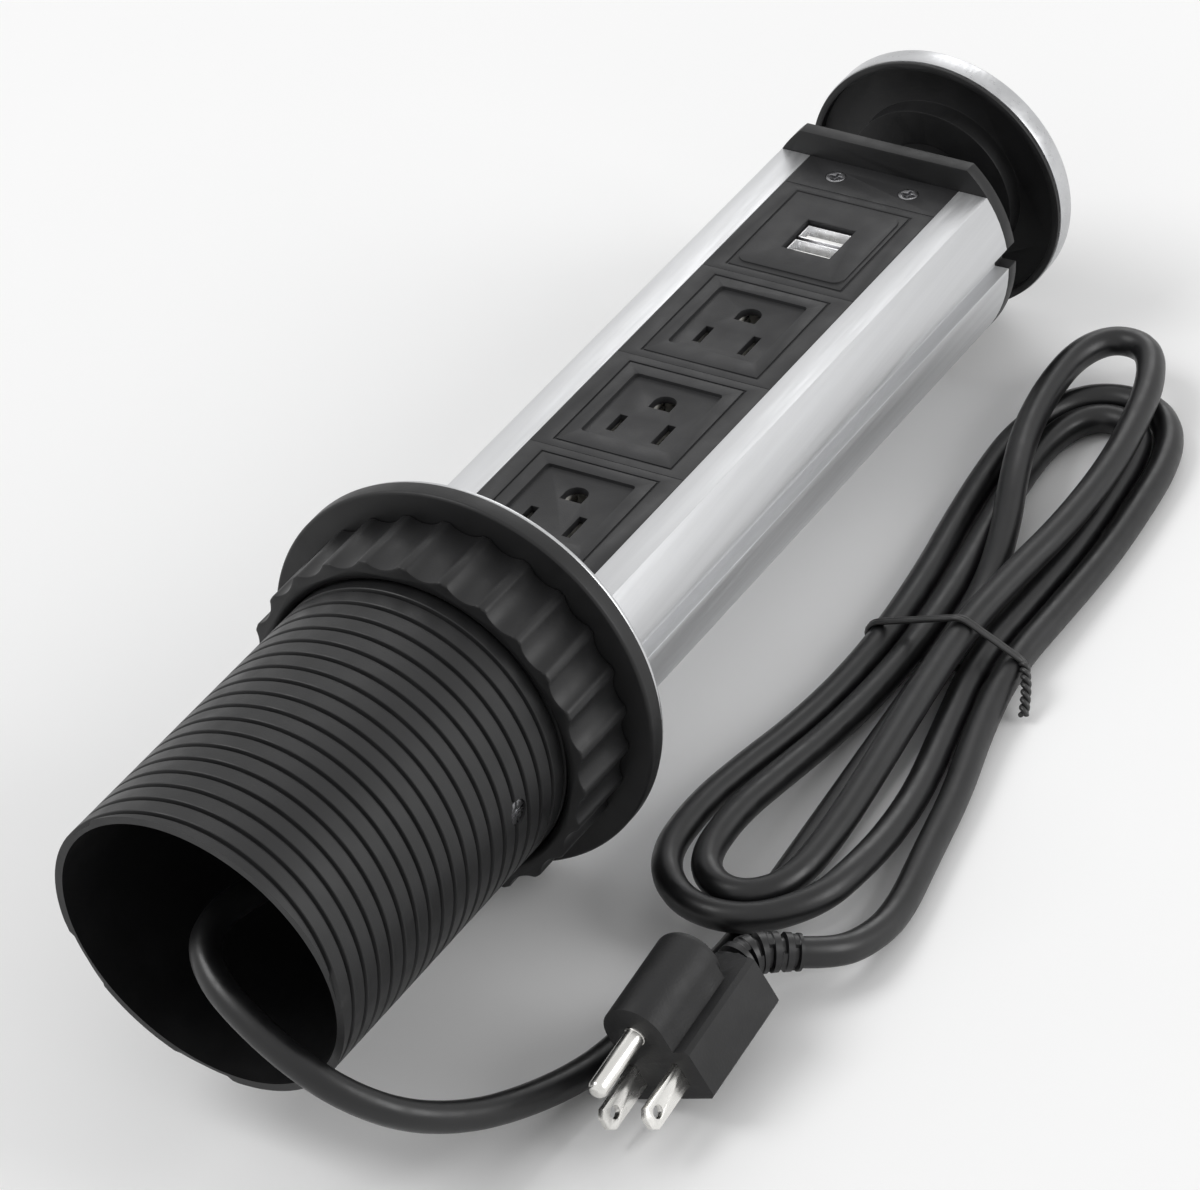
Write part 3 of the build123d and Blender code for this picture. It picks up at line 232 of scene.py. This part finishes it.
# Texture: noise cells to the metre, bump depths in metres, shades as shares of a colour
# and gloss as steps from a roughness
NOISE_RANGE = (0.3, 0.7)
RAMP_STOPS = (0.35, 0.65)
PLASTIC_IOR = 1.42
MOULD_DRIFT_CELLS = 38.0
MOULD_SHADES = (0.86, 1.16)
MOULD_SCUFF_CELLS = 160.0
MOULD_GLOSS = (-0.05, 0.08)
MOULD_GRAIN = (2600.0, 0.00003)
PANEL_GRAIN = (3200.0, 0.00004)
PLUG_GRAIN = (1500.0, 0.00006)
DRAWN_CELLS = 900.0
DRAWN_GLOSS = (-0.07, 0.09)
DRAWN_DRIFT_CELLS = 220.0
DRAWN_SHADES = (0.94, 1.04)
DRAWN_DEPTH = 0.000004
RING_DEPTH = 0.000002
JACKET_ROUGHNESS = 0.36
JACKET_DRIFT_CELLS = 45.0
JACKET_SHADES = (0.85, 1.3)
JACKET_GLOSS_CELLS = 240.0
JACKET_GLOSS_RANGE = (0.30, 0.44)
JACKET_WAVE = (320.0, 0.00006)
JACKET_WAVE_STRENGTH = 0.6
JACKET_GRAIN = (2400.0, 0.00001)
BOARD_ROUGHNESS = 0.35
BOARD_CELLS = 260.0
BOARD_DEPTH = 0.00004
FLOOR_ROUGHNESS = 0.9
FLOOR_DRIFT_CELLS = 3.0
FLOOR_SHADES = (1.0, 1.02)

# Colours
BLACK = (0.008, 0.008, 0.0085)
SLEEVE_BLACK = (0.010, 0.010, 0.0105)
PANEL_BLACK = (0.016, 0.016, 0.017)
JACKET = (0.006, 0.006, 0.0065)
SILVER = (0.60, 0.605, 0.615)
RING_SILVER = (0.56, 0.565, 0.575)
STEEL = (0.30, 0.30, 0.31)
PORT_METAL = (0.80, 0.80, 0.81)
PLUG_BLACK = (0.012, 0.012, 0.0125)
NICKEL = (0.80, 0.79, 0.76)
FLOOR = (0.92, 0.92, 0.92)
PORT_WHITE = (0.86, 0.86, 0.84)
HOUSING_CREAM = (0.62, 0.61, 0.57)
PAD_BLACK = (0.05, 0.05, 0.05)
TIE_BLACK = (0.03, 0.03, 0.03)
TRANSFORMER_BLACK = (0.07, 0.07, 0.07)
CAPACITOR_BLUE = (0.03, 0.05, 0.16)
WIRE_BLACK = (0.02, 0.02, 0.02)
WIRE_WHITE = (0.80, 0.80, 0.78)
WIRE_GREEN = (0.03, 0.28, 0.09)
BOARD_GREEN = (0.02, 0.16, 0.07)
BOARD_LOW = (0.015, 0.12, 0.05)
BOARD_HIGH = (0.03, 0.22, 0.10)


# Materials

class Shader:
    """A principled material with a short way to add nodes and links."""

    def __init__(self, name, colour, roughness, metallic=0.0):
        self.material = bpy.data.materials.new(name)
        self.material.use_nodes = True
        self.tree = self.material.node_tree
        self.bsdf = self.tree.nodes["Principled BSDF"]
        self.bsdf.inputs["Base Color"].default_value = (*colour, 1)
        self.bsdf.inputs["Roughness"].default_value = roughness
        self.bsdf.inputs["Metallic"].default_value = metallic
        self.bump = None

    def node(self, kind, **values):
        made = self.tree.nodes.new(kind)
        for key, value in values.items():
            if key in made.inputs:
                made.inputs[key].default_value = value
            else:
                setattr(made, key, value)
        return made

    def link(self, source, target):
        self.tree.links.new(source, target)

    def place(self, stretch=(1, 1, 1)):
        """Object coordinates, stretched."""
        coordinates = self.node("ShaderNodeTexCoord")
        mapping = self.node("ShaderNodeMapping")
        mapping.inputs["Scale"].default_value = stretch
        self.link(coordinates.outputs["Object"], mapping.inputs["Vector"])
        return mapping.outputs["Vector"]

    def noise(self, scale, stretch=(1, 1, 1), detail=4.0):
        made = self.node("ShaderNodeTexNoise", Scale=scale, Detail=detail)
        self.link(self.place(stretch), made.inputs["Vector"])
        return made.outputs["Fac"]

    def between(self, factor, low, high):
        """Value that runs from low to high with a noise factor."""
        made = self.node("ShaderNodeMapRange")
        made.inputs["From Min"].default_value = NOISE_RANGE[0]
        made.inputs["From Max"].default_value = NOISE_RANGE[1]
        made.inputs["To Min"].default_value = low
        made.inputs["To Max"].default_value = high
        self.link(factor, made.inputs["Value"])
        return made.outputs["Result"]

    def roughness(self, factor, low, high):
        self.link(self.between(factor, low, high), self.bsdf.inputs["Roughness"])

    def colours(self, factor, first, second):
        ramp = self.node("ShaderNodeValToRGB")
        stops = zip(ramp.color_ramp.elements, RAMP_STOPS, (first, second))
        for element, position, colour in stops:
            element.position = position
            element.color = (*colour, 1)
        self.link(factor, ramp.inputs["Fac"])
        self.link(ramp.outputs["Color"], self.bsdf.inputs["Base Color"])

    def relief(self, factor, depth, strength=1.0):
        made = self.node("ShaderNodeBump", Distance=depth, Strength=strength)
        self.link(factor, made.inputs["Height"])
        if self.bump is not None:
            self.link(self.bump, made.inputs["Normal"])
        self.bump = made.outputs["Normal"]
        self.link(self.bump, self.bsdf.inputs["Normal"])


def shades(colour, shares):
    """Shades of a colour, each a share of its strength."""
    return [tuple(min(1.0, part * share) for part in colour) for share in shares]


def moulded(name, colour, roughness, grain=MOULD_GRAIN):
    """Moulded plastic: fine spark-eroded grain, soft colour drift and faint scuffs."""
    shader = Shader(name, colour, roughness)
    drift = shader.noise(MOULD_DRIFT_CELLS, detail=3.0)
    shader.colours(drift, *shades(colour, MOULD_SHADES))
    shader.roughness(shader.noise(MOULD_SCUFF_CELLS), *(roughness + step for step in MOULD_GLOSS))
    cells, depth = grain
    shader.relief(shader.noise(cells, detail=2.0), depth)
    shader.bsdf.inputs["IOR"].default_value = PLASTIC_IOR
    return shader.material


def brushed(name, colour, roughness, stretch=(1.0, 1.0, 1.0), depth=DRAWN_DEPTH, metallic=1.0):
    """Metal with a fine drawn grain, longest where the stretch is smallest."""
    shader = Shader(name, colour, roughness, metallic)
    grain = shader.noise(DRAWN_CELLS, stretch, 6.0)
    shader.roughness(grain, *(roughness + step for step in DRAWN_GLOSS))
    drift = shader.noise(DRAWN_DRIFT_CELLS, stretch)
    shader.colours(drift, *shades(colour, DRAWN_SHADES))
    shader.relief(grain, depth)
    return shader.material


def jacket(name, colour):
    """Extruded cord jacket: soft gloss with a faint lengthwise waviness."""
    shader = Shader(name, colour, JACKET_ROUGHNESS)
    shader.colours(shader.noise(JACKET_DRIFT_CELLS), *shades(colour, JACKET_SHADES))
    shader.roughness(shader.noise(JACKET_GLOSS_CELLS), *JACKET_GLOSS_RANGE)
    wave_cells, wave_depth = JACKET_WAVE
    shader.relief(shader.noise(wave_cells), wave_depth, JACKET_WAVE_STRENGTH)
    grain_cells, grain_depth = JACKET_GRAIN
    shader.relief(shader.noise(grain_cells, detail=2.0), grain_depth)
    return shader.material


def circuit_board(name, colour):
    """Lacquered board with faint tracks."""
    shader = Shader(name, colour, BOARD_ROUGHNESS)
    cells = shader.node("ShaderNodeTexVoronoi", Scale=BOARD_CELLS)
    cells.distance = "CHEBYCHEV"
    shader.link(shader.place(), cells.inputs["Vector"])
    shader.colours(cells.outputs["Distance"], BOARD_LOW, BOARD_HIGH)
    shader.relief(cells.outputs["Distance"], BOARD_DEPTH)
    return shader.material


# Maker of each material slot with its colour, roughness and what it has of its own
SLOTS = {
    "sleeve_plastic": (moulded, SLEEVE_BLACK, 0.44),
    "black_plastic": (moulded, BLACK, 0.46),
    "panel_plastic": (moulded, PANEL_BLACK, 0.52, PANEL_GRAIN),
    "port_plastic": (moulded, PORT_WHITE, 0.45),
    "housing_plastic": (moulded, HOUSING_CREAM, 0.55),
    "silver_aluminium": (brushed, SILVER, 0.46, (0.02, 1.0, 1.0), DRAWN_DEPTH, 0.7),
    "bright_ring": (brushed, RING_SILVER, 0.32, (1.0, 0.05, 1.0), RING_DEPTH, 0.9),
    "bright_steel": (brushed, STEEL, 0.28),
    "contact_brass": (brushed, NICKEL, 0.24, (0.2, 1.0, 1.0)),
    "pad_rubber": (moulded, PAD_BLACK, 0.8),
    "cord_jacket": (jacket, JACKET),
    "tie_plastic": (jacket, TIE_BLACK),
    "cap_face": (moulded, BLACK, 0.30),
    "board_green": (circuit_board, BOARD_GREEN),
    "transformer_black": (moulded, TRANSFORMER_BLACK, 0.6),
    "capacitor_sleeve": (moulded, CAPACITOR_BLUE, 0.3),
    "wire_black": (jacket, WIRE_BLACK),
    "wire_white": (jacket, WIRE_WHITE),
    "wire_green": (jacket, WIRE_GREEN),
}
MATERIALS = {slot: make(slot, *values) for slot, (make, *values) in SLOTS.items()}
PORT_SHELL = brushed("port_shell", PORT_METAL, 0.3)
PLUG_PLASTIC = moulded("plug_plastic", PLUG_BLACK, 0.5, PLUG_GRAIN)


def dress_nodes():
    """Gives each CAD node the material of its slot."""
    for part in frame["record"]["subparts"]:
        node = NODES[part["node"]]
        node.data.materials.clear()
        node.data.materials.append(MATERIALS[part["material_slot"]])


# Camera, floor and light

def make_camera():
    """Camera fitted to the photograph."""
    data = bpy.data.cameras.new("camera")
    data.sensor_width = SENSOR
    data.lens = FOCAL_PIXELS * SENSOR / PHOTO_WIDTH
    data.clip_start = 0.1
    data.clip_end = 20
    camera = bpy.data.objects.new("camera", data)
    bpy.context.scene.collection.objects.link(camera)
    back = CAMERA_RIGHT.cross(CAMERA_UP).normalized()
    up = back.cross(CAMERA_RIGHT).normalized()
    right = up.cross(back)
    rows = [[right[row], up[row], back[row], CAMERA_PLACE[row]] for row in range(3)]
    camera.matrix_world = Matrix(rows + [[0, 0, 0, 1]])
    bpy.context.scene.camera = camera


def make_floor():
    """Plain pale floor that the camera sees nearly white, with the object's own shadow."""
    mesh = bpy.data.meshes.new("floor")
    corners = [(-1, -1), (1, -1), (1, 1), (-1, 1)]
    points = [(along * FLOOR_REACH, across * FLOOR_REACH, 0) for along, across in corners]
    mesh.from_pydata(points, [], [(0, 1, 2, 3)])
    floor = bpy.data.objects.new("floor", mesh)
    bpy.context.scene.collection.objects.link(floor)
    shader = Shader("floor", FLOOR, FLOOR_ROUGHNESS)
    shader.colours(shader.noise(FLOOR_DRIFT_CELLS), *shades(FLOOR, FLOOR_SHADES))
    mesh.materials.append(shader.material)


def make_world():
    """Even pale surroundings; metal and the camera see them near white."""
    world = bpy.data.worlds.new("world")
    bpy.context.scene.world = world
    world.use_nodes = True
    tree = world.node_tree
    background = tree.nodes["Background"]
    rays = tree.nodes.new("ShaderNodeLightPath")
    seen = tree.nodes.new("ShaderNodeMath")
    seen.operation = "MAXIMUM"
    tree.links.new(rays.outputs["Is Camera Ray"], seen.inputs[0])
    tree.links.new(rays.outputs["Is Glossy Ray"], seen.inputs[1])
    strength = tree.nodes.new("ShaderNodeMapRange")
    strength.inputs["To Min"].default_value = WORLD_ON_OBJECT
    strength.inputs["To Max"].default_value = WORLD_SEEN
    tree.links.new(seen.outputs[0], strength.inputs["Value"])
    tree.links.new(strength.outputs["Result"], background.inputs["Strength"])
    background.inputs["Color"].default_value = (1, 1, 1, 1)


def add_light(name, place, aim, size, power):
    data = bpy.data.lights.new(name, "AREA")
    data.shape = "DISK"
    data.size = size
    data.energy = power
    light = bpy.data.objects.new(name, data)
    light.location = place
    light.rotation_mode = "QUATERNION"
    light.rotation_quaternion = (Vector(aim) - Vector(place)).to_track_quat("-Z", "Y")
    bpy.context.scene.collection.objects.link(light)


def make_lights():
    for name, values in LAMPS.items():
        add_light(name, *values)


# Mesh helpers

def new_piece(name, mesh, body, slot, *nodes):
    """Object that rides on a body, takes a slot's material and stands for CAD nodes."""
    piece = bpy.data.objects.new(name, mesh)
    bpy.context.scene.collection.objects.link(piece)
    if hasattr(mesh, "materials"):
        mesh.materials.clear()
        mesh.materials.append(MATERIALS[slot])
    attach(piece, body)
    if nodes:
        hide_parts(*nodes)
    return piece


def applied(piece):
    """Bakes a piece's modifiers into its mesh."""
    graph = bpy.context.evaluated_depsgraph_get()
    mesh = bpy.data.meshes.new_from_object(piece.evaluated_get(graph))
    piece.modifiers.clear()
    piece.data = mesh


def softened(node, width):
    """Copy of a CAD node with its edges broken by a small round."""
    source = NODES[node]
    angle = math.radians(NODE_EDGE_ANGLE)
    flat = math.radians(FLAT_ANGLE)
    work = bmesh.new()
    work.from_mesh(source.data)
    bmesh.ops.remove_doubles(work, verts=work.verts, dist=CAD_WELD)
    bmesh.ops.dissolve_limit(work, angle_limit=flat, verts=work.verts, edges=work.edges)
    mesh = bpy.data.meshes.new(node + "_soft")
    work.to_mesh(mesh)
    work.free()
    parts = frame["record"]["subparts"]
    slot = next(part["material_slot"] for part in parts if part["node"] == node)
    piece = new_piece(node + "_detail", mesh, body_of(source)[0], slot, node)
    bevel = piece.modifiers.new("edges", "BEVEL")
    bevel.width = width
    bevel.segments = BEVEL_SEGMENTS
    bevel.limit_method = "ANGLE"
    bevel.angle_limit = angle
    bevel.use_clamp_overlap = True
    applied(piece)
    piece.data.shade_smooth()
    piece.data.set_sharp_from_angle(angle=angle)
    return piece


def grid_mesh(name, rings):
    """Quad mesh through closed rings of points, each ring as long as the others."""
    count = len(rings[0])
    points = [tuple(point) for ring in rings for point in ring]
    faces = []
    for row in range(len(rings) - 1):
        here = row * count
        ahead = here + count
        for column in range(count):
            after = (column + 1) % count
            faces.append((here + column, here + after, ahead + after, ahead + column))
    mesh = bpy.data.meshes.new(name)
    mesh.from_pydata(points, [], faces)
    work = bmesh.new()
    work.from_mesh(mesh)
    bmesh.ops.remove_doubles(work, verts=work.verts, dist=GRID_WELD)
    bmesh.ops.recalc_face_normals(work, faces=work.faces)
    work.to_mesh(mesh)
    work.free()
    mesh.shade_smooth()
    mesh.set_sharp_from_angle(angle=math.radians(GRID_EDGE_ANGLE))
    return mesh


def cut(piece, cutter):
    """Cuts a pocket into a piece and removes the cutter."""
    pocket = piece.modifiers.new("pocket", "BOOLEAN")
    pocket.operation = "DIFFERENCE"
    pocket.solver = "EXACT"
    pocket.object = cutter
    applied(piece)
    bpy.data.objects.remove(cutter)


def arc(centre, radius, start, end, steps=5):
    """Points of an arc, with its angles in degrees."""
    points = []
    for step in range(steps + 1):
        angle = math.radians(start + (end - start) * step / steps)
        points.append((centre[0] + radius * math.cos(angle), centre[1] + radius * math.sin(angle)))
    return points


def route_points(points):
    """Even points read from a smooth spline through given control points."""
    data = bpy.data.curves.new("route", "CURVE")
    data.dimensions = "3D"
    data.resolution_u = ROUTE_STEPS
    spline = data.splines.new("NURBS")
    spline.points.add(len(points) - 1)
    for target, point in zip(spline.points, points):
        target.co = (*point, 1)
    spline.order_u = 3
    spline.use_endpoint_u = True
    holder = bpy.data.objects.new("route", data)
    line = bpy.data.meshes.new_from_object(holder)
    found = [vertex.co.copy() for vertex in line.vertices]
    bpy.data.objects.remove(holder)
    bpy.data.curves.remove(data)
    return found


def point_along(line, share):
    """Place and heading at a share of a line's length."""
    lengths = [(after - before).length for before, after in zip(line, line[1:])]
    wanted = share * sum(lengths)
    for before, after, length in zip(line, line[1:], lengths):
        if wanted <= length or after is line[-1]:
            return before.lerp(after, min(1.0, wanted / length)), (after - before).normalized()
        wanted -= length


def frames_along(line, shares):
    """Places with a side and an up direction that turn with the line and don't twist."""
    frames = []
    up = Vector((0, 0, 1))
    for share in shares:
        place, heading = point_along(line, share)
        side = heading.cross(up).normalized()
        up = side.cross(heading).normalized()
        frames.append((place, side, up))
    return frames


def wire(name, points, radius, body, slot, *nodes):
    """Round wire through points that a formula or a route gives."""
    data = bpy.data.curves.new(name, "CURVE")
    data.dimensions = "3D"
    data.bevel_depth = radius
    data.bevel_resolution = 4
    data.use_fill_caps = True
    spline = data.splines.new("POLY")
    spline.points.add(len(points) - 1)
    for target, point in zip(spline.points, points):
        target.co = (*point, 1)
    return new_piece(name, data, body, slot, *nodes)


# Sleeve

def mouth_at(across, out):
    """Place of the slanted mouth at a point of the sleeve's section."""
    return -SLEEVE_LENGTH + MOUTH_SIDE_SLOPE * across + MOUTH_HEIGHT_SLOPE * out


def sleeve_profile(angle):
    """Outline of the sleeve's wall at one angle, as places along the axis and radii."""
    across = math.cos(angle)
    out = math.sin(angle)
    outline = [(mouth_at(SLEEVE_BORE * across, SLEEVE_BORE * out), SLEEVE_BORE), (0, SLEEVE_BORE)]
    outline += arc((-FLANGE_TOP_ROUND, FLANGE_RADIUS - FLANGE_TOP_ROUND), FLANGE_TOP_ROUND, 0, 90)
    lower = (FLANGE_LOWER_ROUND - FLANGE_THICKNESS, FLANGE_RADIUS - FLANGE_LOWER_ROUND)
    outline += arc(lower, FLANGE_LOWER_ROUND, 90, 180)
    outline.append((-FLANGE_THICKNESS, SLEEVE_CREST))
    half = THREAD_GROOVE / 2
    turn_share = angle / (2 * math.pi)
    limit = mouth_at(SLEEVE_CREST * across, SLEEVE_CREST * out)
    for turn in range(THREAD_TURNS):
        middle = -THREAD_START - THREAD_PITCH * (turn + turn_share)
        run_in = min(1.0, THREAD_RUN_IN * (turn + turn_share))
        section = [(half + THREAD_EDGE, 0), (half, THREAD_EDGE_DROP), (half / 2, THREAD_DEPTH),
                   (-half / 2, THREAD_DEPTH), (-half, THREAD_EDGE_DROP), (-half - THREAD_EDGE, 0)]
        for step, depth in section:
            if middle + step > limit:
                outline.append((middle + step, SLEEVE_CREST - depth * run_in))
            else:
                outline.append((limit, outline[-1][1]))
    return outline


def make_sleeve():
    """Sleeve with a true helical thread, a rounded flange and the guide screw's pocket."""
    rings = []
    for step in range(SLEEVE_STEPS + 1):
        angle = 2 * math.pi * step / SLEEVE_STEPS
        ring = []
        for along, radius in sleeve_profile(angle):
            ring.append(in_tower(along, radius * math.cos(angle), radius * math.sin(angle)))
        rings.append(ring)
    mesh = grid_mesh("sleeve", rings)
    sleeve = new_piece("sleeve_with_thread", mesh, "sleeve", "sleeve_plastic", "threaded_sleeve")
    cut(sleeve, screw_pocket())
    sleeve.data.shade_smooth()
    sleeve.data.set_sharp_from_angle(angle=math.radians(THREAD_EDGE_ANGLE))


def screw_pocket():
    """Round cutter for the pocket that the guide screw's head sits in."""
    work = bmesh.new()
    radius = SCREW_POCKET_RADIUS * MM
    depth = 2 * (SLEEVE_CREST - SCREW_POCKET_FLOOR) * MM
    bmesh.ops.create_cone(work, cap_ends=True, segments=SCREW_POCKET_SIDES, radius1=radius,
                          radius2=radius, depth=depth)
    place = Matrix.Translation((-SCREW_DEPTH * MM, -SLEEVE_CREST * MM, SCREW_HEIGHT * MM))
    work.transform(TOWER @ place @ Matrix.Rotation(math.radians(90), 4, "X"))
    mesh = bpy.data.meshes.new("pocket")
    work.to_mesh(mesh)
    work.free()
    cutter = bpy.data.objects.new("pocket", mesh)
    bpy.context.scene.collection.objects.link(cutter)
    return cutter


# Nodes that keep their CAD shape, with the rounding of their edges in millimetres
EDGE_ROUNDS = {
    "clamp_nut": 0.55, "flange_trim_ring": 0.2, "guide_bushing": 0.2, "guide_screw": 0.12,
    "tower_extrusion": 0.18, "top_end_plate": 0.35, "bottom_stop_plate": 0.3, "upper_blank_panel": 0.2,
    "lower_blank_panel": 0.2, "socket_face_1": 0.2, "socket_face_2": 0.2, "socket_face_3": 0.2,
    "charger_face": 0.22, "charger_port_shells": 0.1, "charger_port_tongues": 0.15, "cap_base": 0.3,
    "cap_trim_ring": 0.25, "cap_cover": 0.15, "cap_stem": 0.4, "cord_gland": 0.35, "plug_body": 0.7,
    "plug_blades": 0.14, "plug_ground_pin": 0.2, "panel_screws": 0.12, "end_plate_screws": 0.12,
}


def soften_nodes():
    """Softened copy of each of these nodes, two of them with a material of their own."""
    pieces = {node: softened(node, width * MM) for node, width in EDGE_ROUNDS.items()}
    pieces["charger_port_shells"].data.materials[0] = PORT_SHELL
    pieces["plug_body"].data.materials[0] = PLUG_PLASTIC
    return pieces


# Charger ports

def port_contacts():
    """Four thin contacts on the face of each port tongue."""
    work = bmesh.new()
    for side in (-1, 1):
        face = PORT_CENTRE + side * PORT_SPACING / 2 - TONGUE_OFFSET + TONGUE_HALF
        for across in CONTACT_PLACES:
            low = Vector((face - CONTACT_DEPTH, across - CONTACT_HALF_WIDTH, CONTACT_LOW))
            high = Vector((face + CONTACT_DEPTH, across + CONTACT_HALF_WIDTH, CONTACT_TOP))
            made = bmesh.ops.create_cube(work, size=1.0)["verts"]
            size = high - low
            middle = (high + low) / 2
            for vertex in made:
                place = [middle[axis] + vertex.co[axis] * size[axis] for axis in range(3)]
                vertex.co = in_tower(*place)
    mesh = bpy.data.meshes.new("port_contacts")
    work.to_mesh(mesh)
    work.free()
    new_piece("port_contacts", mesh, "tower", "contact_brass")


# Hank tie

def in_hank(along, across, height):
    """Place in the frame from millimetres along the hank, across it and up."""
    turned = Matrix.Rotation(HANK_TURN, 3, "Z")
    return HANK_MIDDLE + turned @ Vector((along * MM, across * MM, 0)) + Vector((0, 0, height * MM))


def tie_section():
    """The tie's way round the strands that it wraps, across the hank and up."""
    count = len(TIE_WRAPPED)
    section = []
    for place, centre in enumerate(TIE_WRAPPED):
        before = Vector(centre) - Vector(TIE_WRAPPED[place - 1])
        after = Vector(TIE_WRAPPED[(place + 1) % count]) - Vector(centre)
        start = math.degrees(math.atan2(before.y, before.x)) - 90
        turn = (math.degrees(math.atan2(after.y, after.x)) - 90 - start) % 360
        section += arc(centre, TIE_REACH, start, start + turn, TIE_ARC_STEPS)
    return section


def make_tie():
    """Coated wire tie wound twice round the hank, its two ends twisted together."""
    section = tie_section()
    loop = []
    total = 2 * len(section)
    for step in range(total + 1):
        across, height = section[step % len(section)]
        along = TIE_SPREAD * (2 * step / total - 1)
        loop.append(in_hank(along, across, height))
    pieces = [wire("tie_wound", loop, TIE_WIRE_RADIUS * MM, "tower", "tie_plastic", "hank_tie")]
    line = route_points([in_hank(*place) for place in TIE_END_ROUTE])
    shares = [step / TIE_TWIST_STEPS for step in range(TIE_TWIST_STEPS + 1)]
    spread = TIE_TWIST_RADIUS * MM
    for half in (0, 1):
        strand = []
        for share, (place, side, up) in zip(shares, frames_along(line, shares)):
            angle = math.pi * half + 2 * math.pi * TIE_TWIST_TURNS * share
            strand.append(place + side * math.cos(angle) * spread + up * math.sin(angle) * spread)
        name = f"tie_end_{half + 1}"
        pieces.append(wire(name, strand, TIE_WIRE_RADIUS * MM, "tower", "tie_plastic"))
    return pieces


# Strain relief of the plug

def relief_radius(share, angle):
    """Radius of the ribbed strain relief, with bridges that cross each groove on two sides."""
    radius = RELIEF_ROOT_RADIUS + (RELIEF_TIP_RADIUS - RELIEF_ROOT_RADIUS) * share
    place = share * RELIEF_RIBS
    groove = place % 1.0
    past_groove = abs(groove - 0.5) - RELIEF_GROOVE_HALF
    edge = min(past_groove, RELIEF_GROOVE_EDGE) / RELIEF_GROOVE_EDGE
    if edge >= 1 or share > RELIEF_PLAIN_END:
        return radius
    turned = angle + (math.pi / 2 if int(place) % 2 else 0)
    bridge = abs(math.cos(turned)) > RELIEF_BRIDGE_REACH
    low = RELIEF_BRIDGE_SHARE if bridge else RELIEF_GROOVE_SHARE
    return radius * (low + (1 - low) * max(0.0, edge))


def make_relief():
    """Tapered strain relief with ribs, from the plug's back to the lead."""
    back = PLUG_ROOT - PLUG_HEADING * RELIEF_START
    route = [back, back - PLUG_HEADING * RELIEF_STRAIGHT] + [Vector(place) for place in RELIEF_ROUTE]
    line = route_points(route)
    shares = [step / RELIEF_STEPS for step in range(RELIEF_STEPS + 1)]
    rings = []
    for share, (place, side, up) in zip(shares, frames_along(line, shares)):
        ring = []
        for step in range(RELIEF_SIDES):
            angle = 2 * math.pi * step / RELIEF_SIDES
            radius = relief_radius(share, angle) * MM
            ring.append(place + side * math.cos(angle) * radius + up * math.sin(angle) * radius)
        rings.append(ring)
    mesh = grid_mesh("strain_relief", rings)
    return new_piece("strain_relief", mesh, "tower", "cord_jacket", "plug_strain_relief")


# Cord

def make_cord():
    """The whole lead, from the gland through the hank to the plug's strain relief."""
    data = bpy.data.curves.new("mains_lead", "CURVE")
    data.dimensions = "3D"
    data.bevel_depth = CORD_RADIUS
    data.bevel_resolution = 7
    data.resolution_u = 10
    data.use_fill_caps = True
    points = [*LEAD_ROUTE, *(in_hank(*place) for place in HANK_ROUTE), *TAIL_ROUTE]
    spline = data.splines.new("NURBS")
    spline.points.add(len(points) - 1)
    for target, point in zip(spline.points, points):
        target.co = (*point, 1)
    spline.order_u = 3
    spline.use_endpoint_u = True
    stands_for = ("cord_lead", "cord_hank", "cord_tail")
    return new_piece("mains_lead", data, "tower", "cord_jacket", *stands_for)


make_camera()
mains_lead = make_cord()
make_floor()
make_world()
make_lights()
dress_nodes()
make_sleeve()
softened_nodes = soften_nodes()
port_contacts()
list(make_tie())
make_relief()

bpy.context.scene.view_settings.view_transform = "Standard"
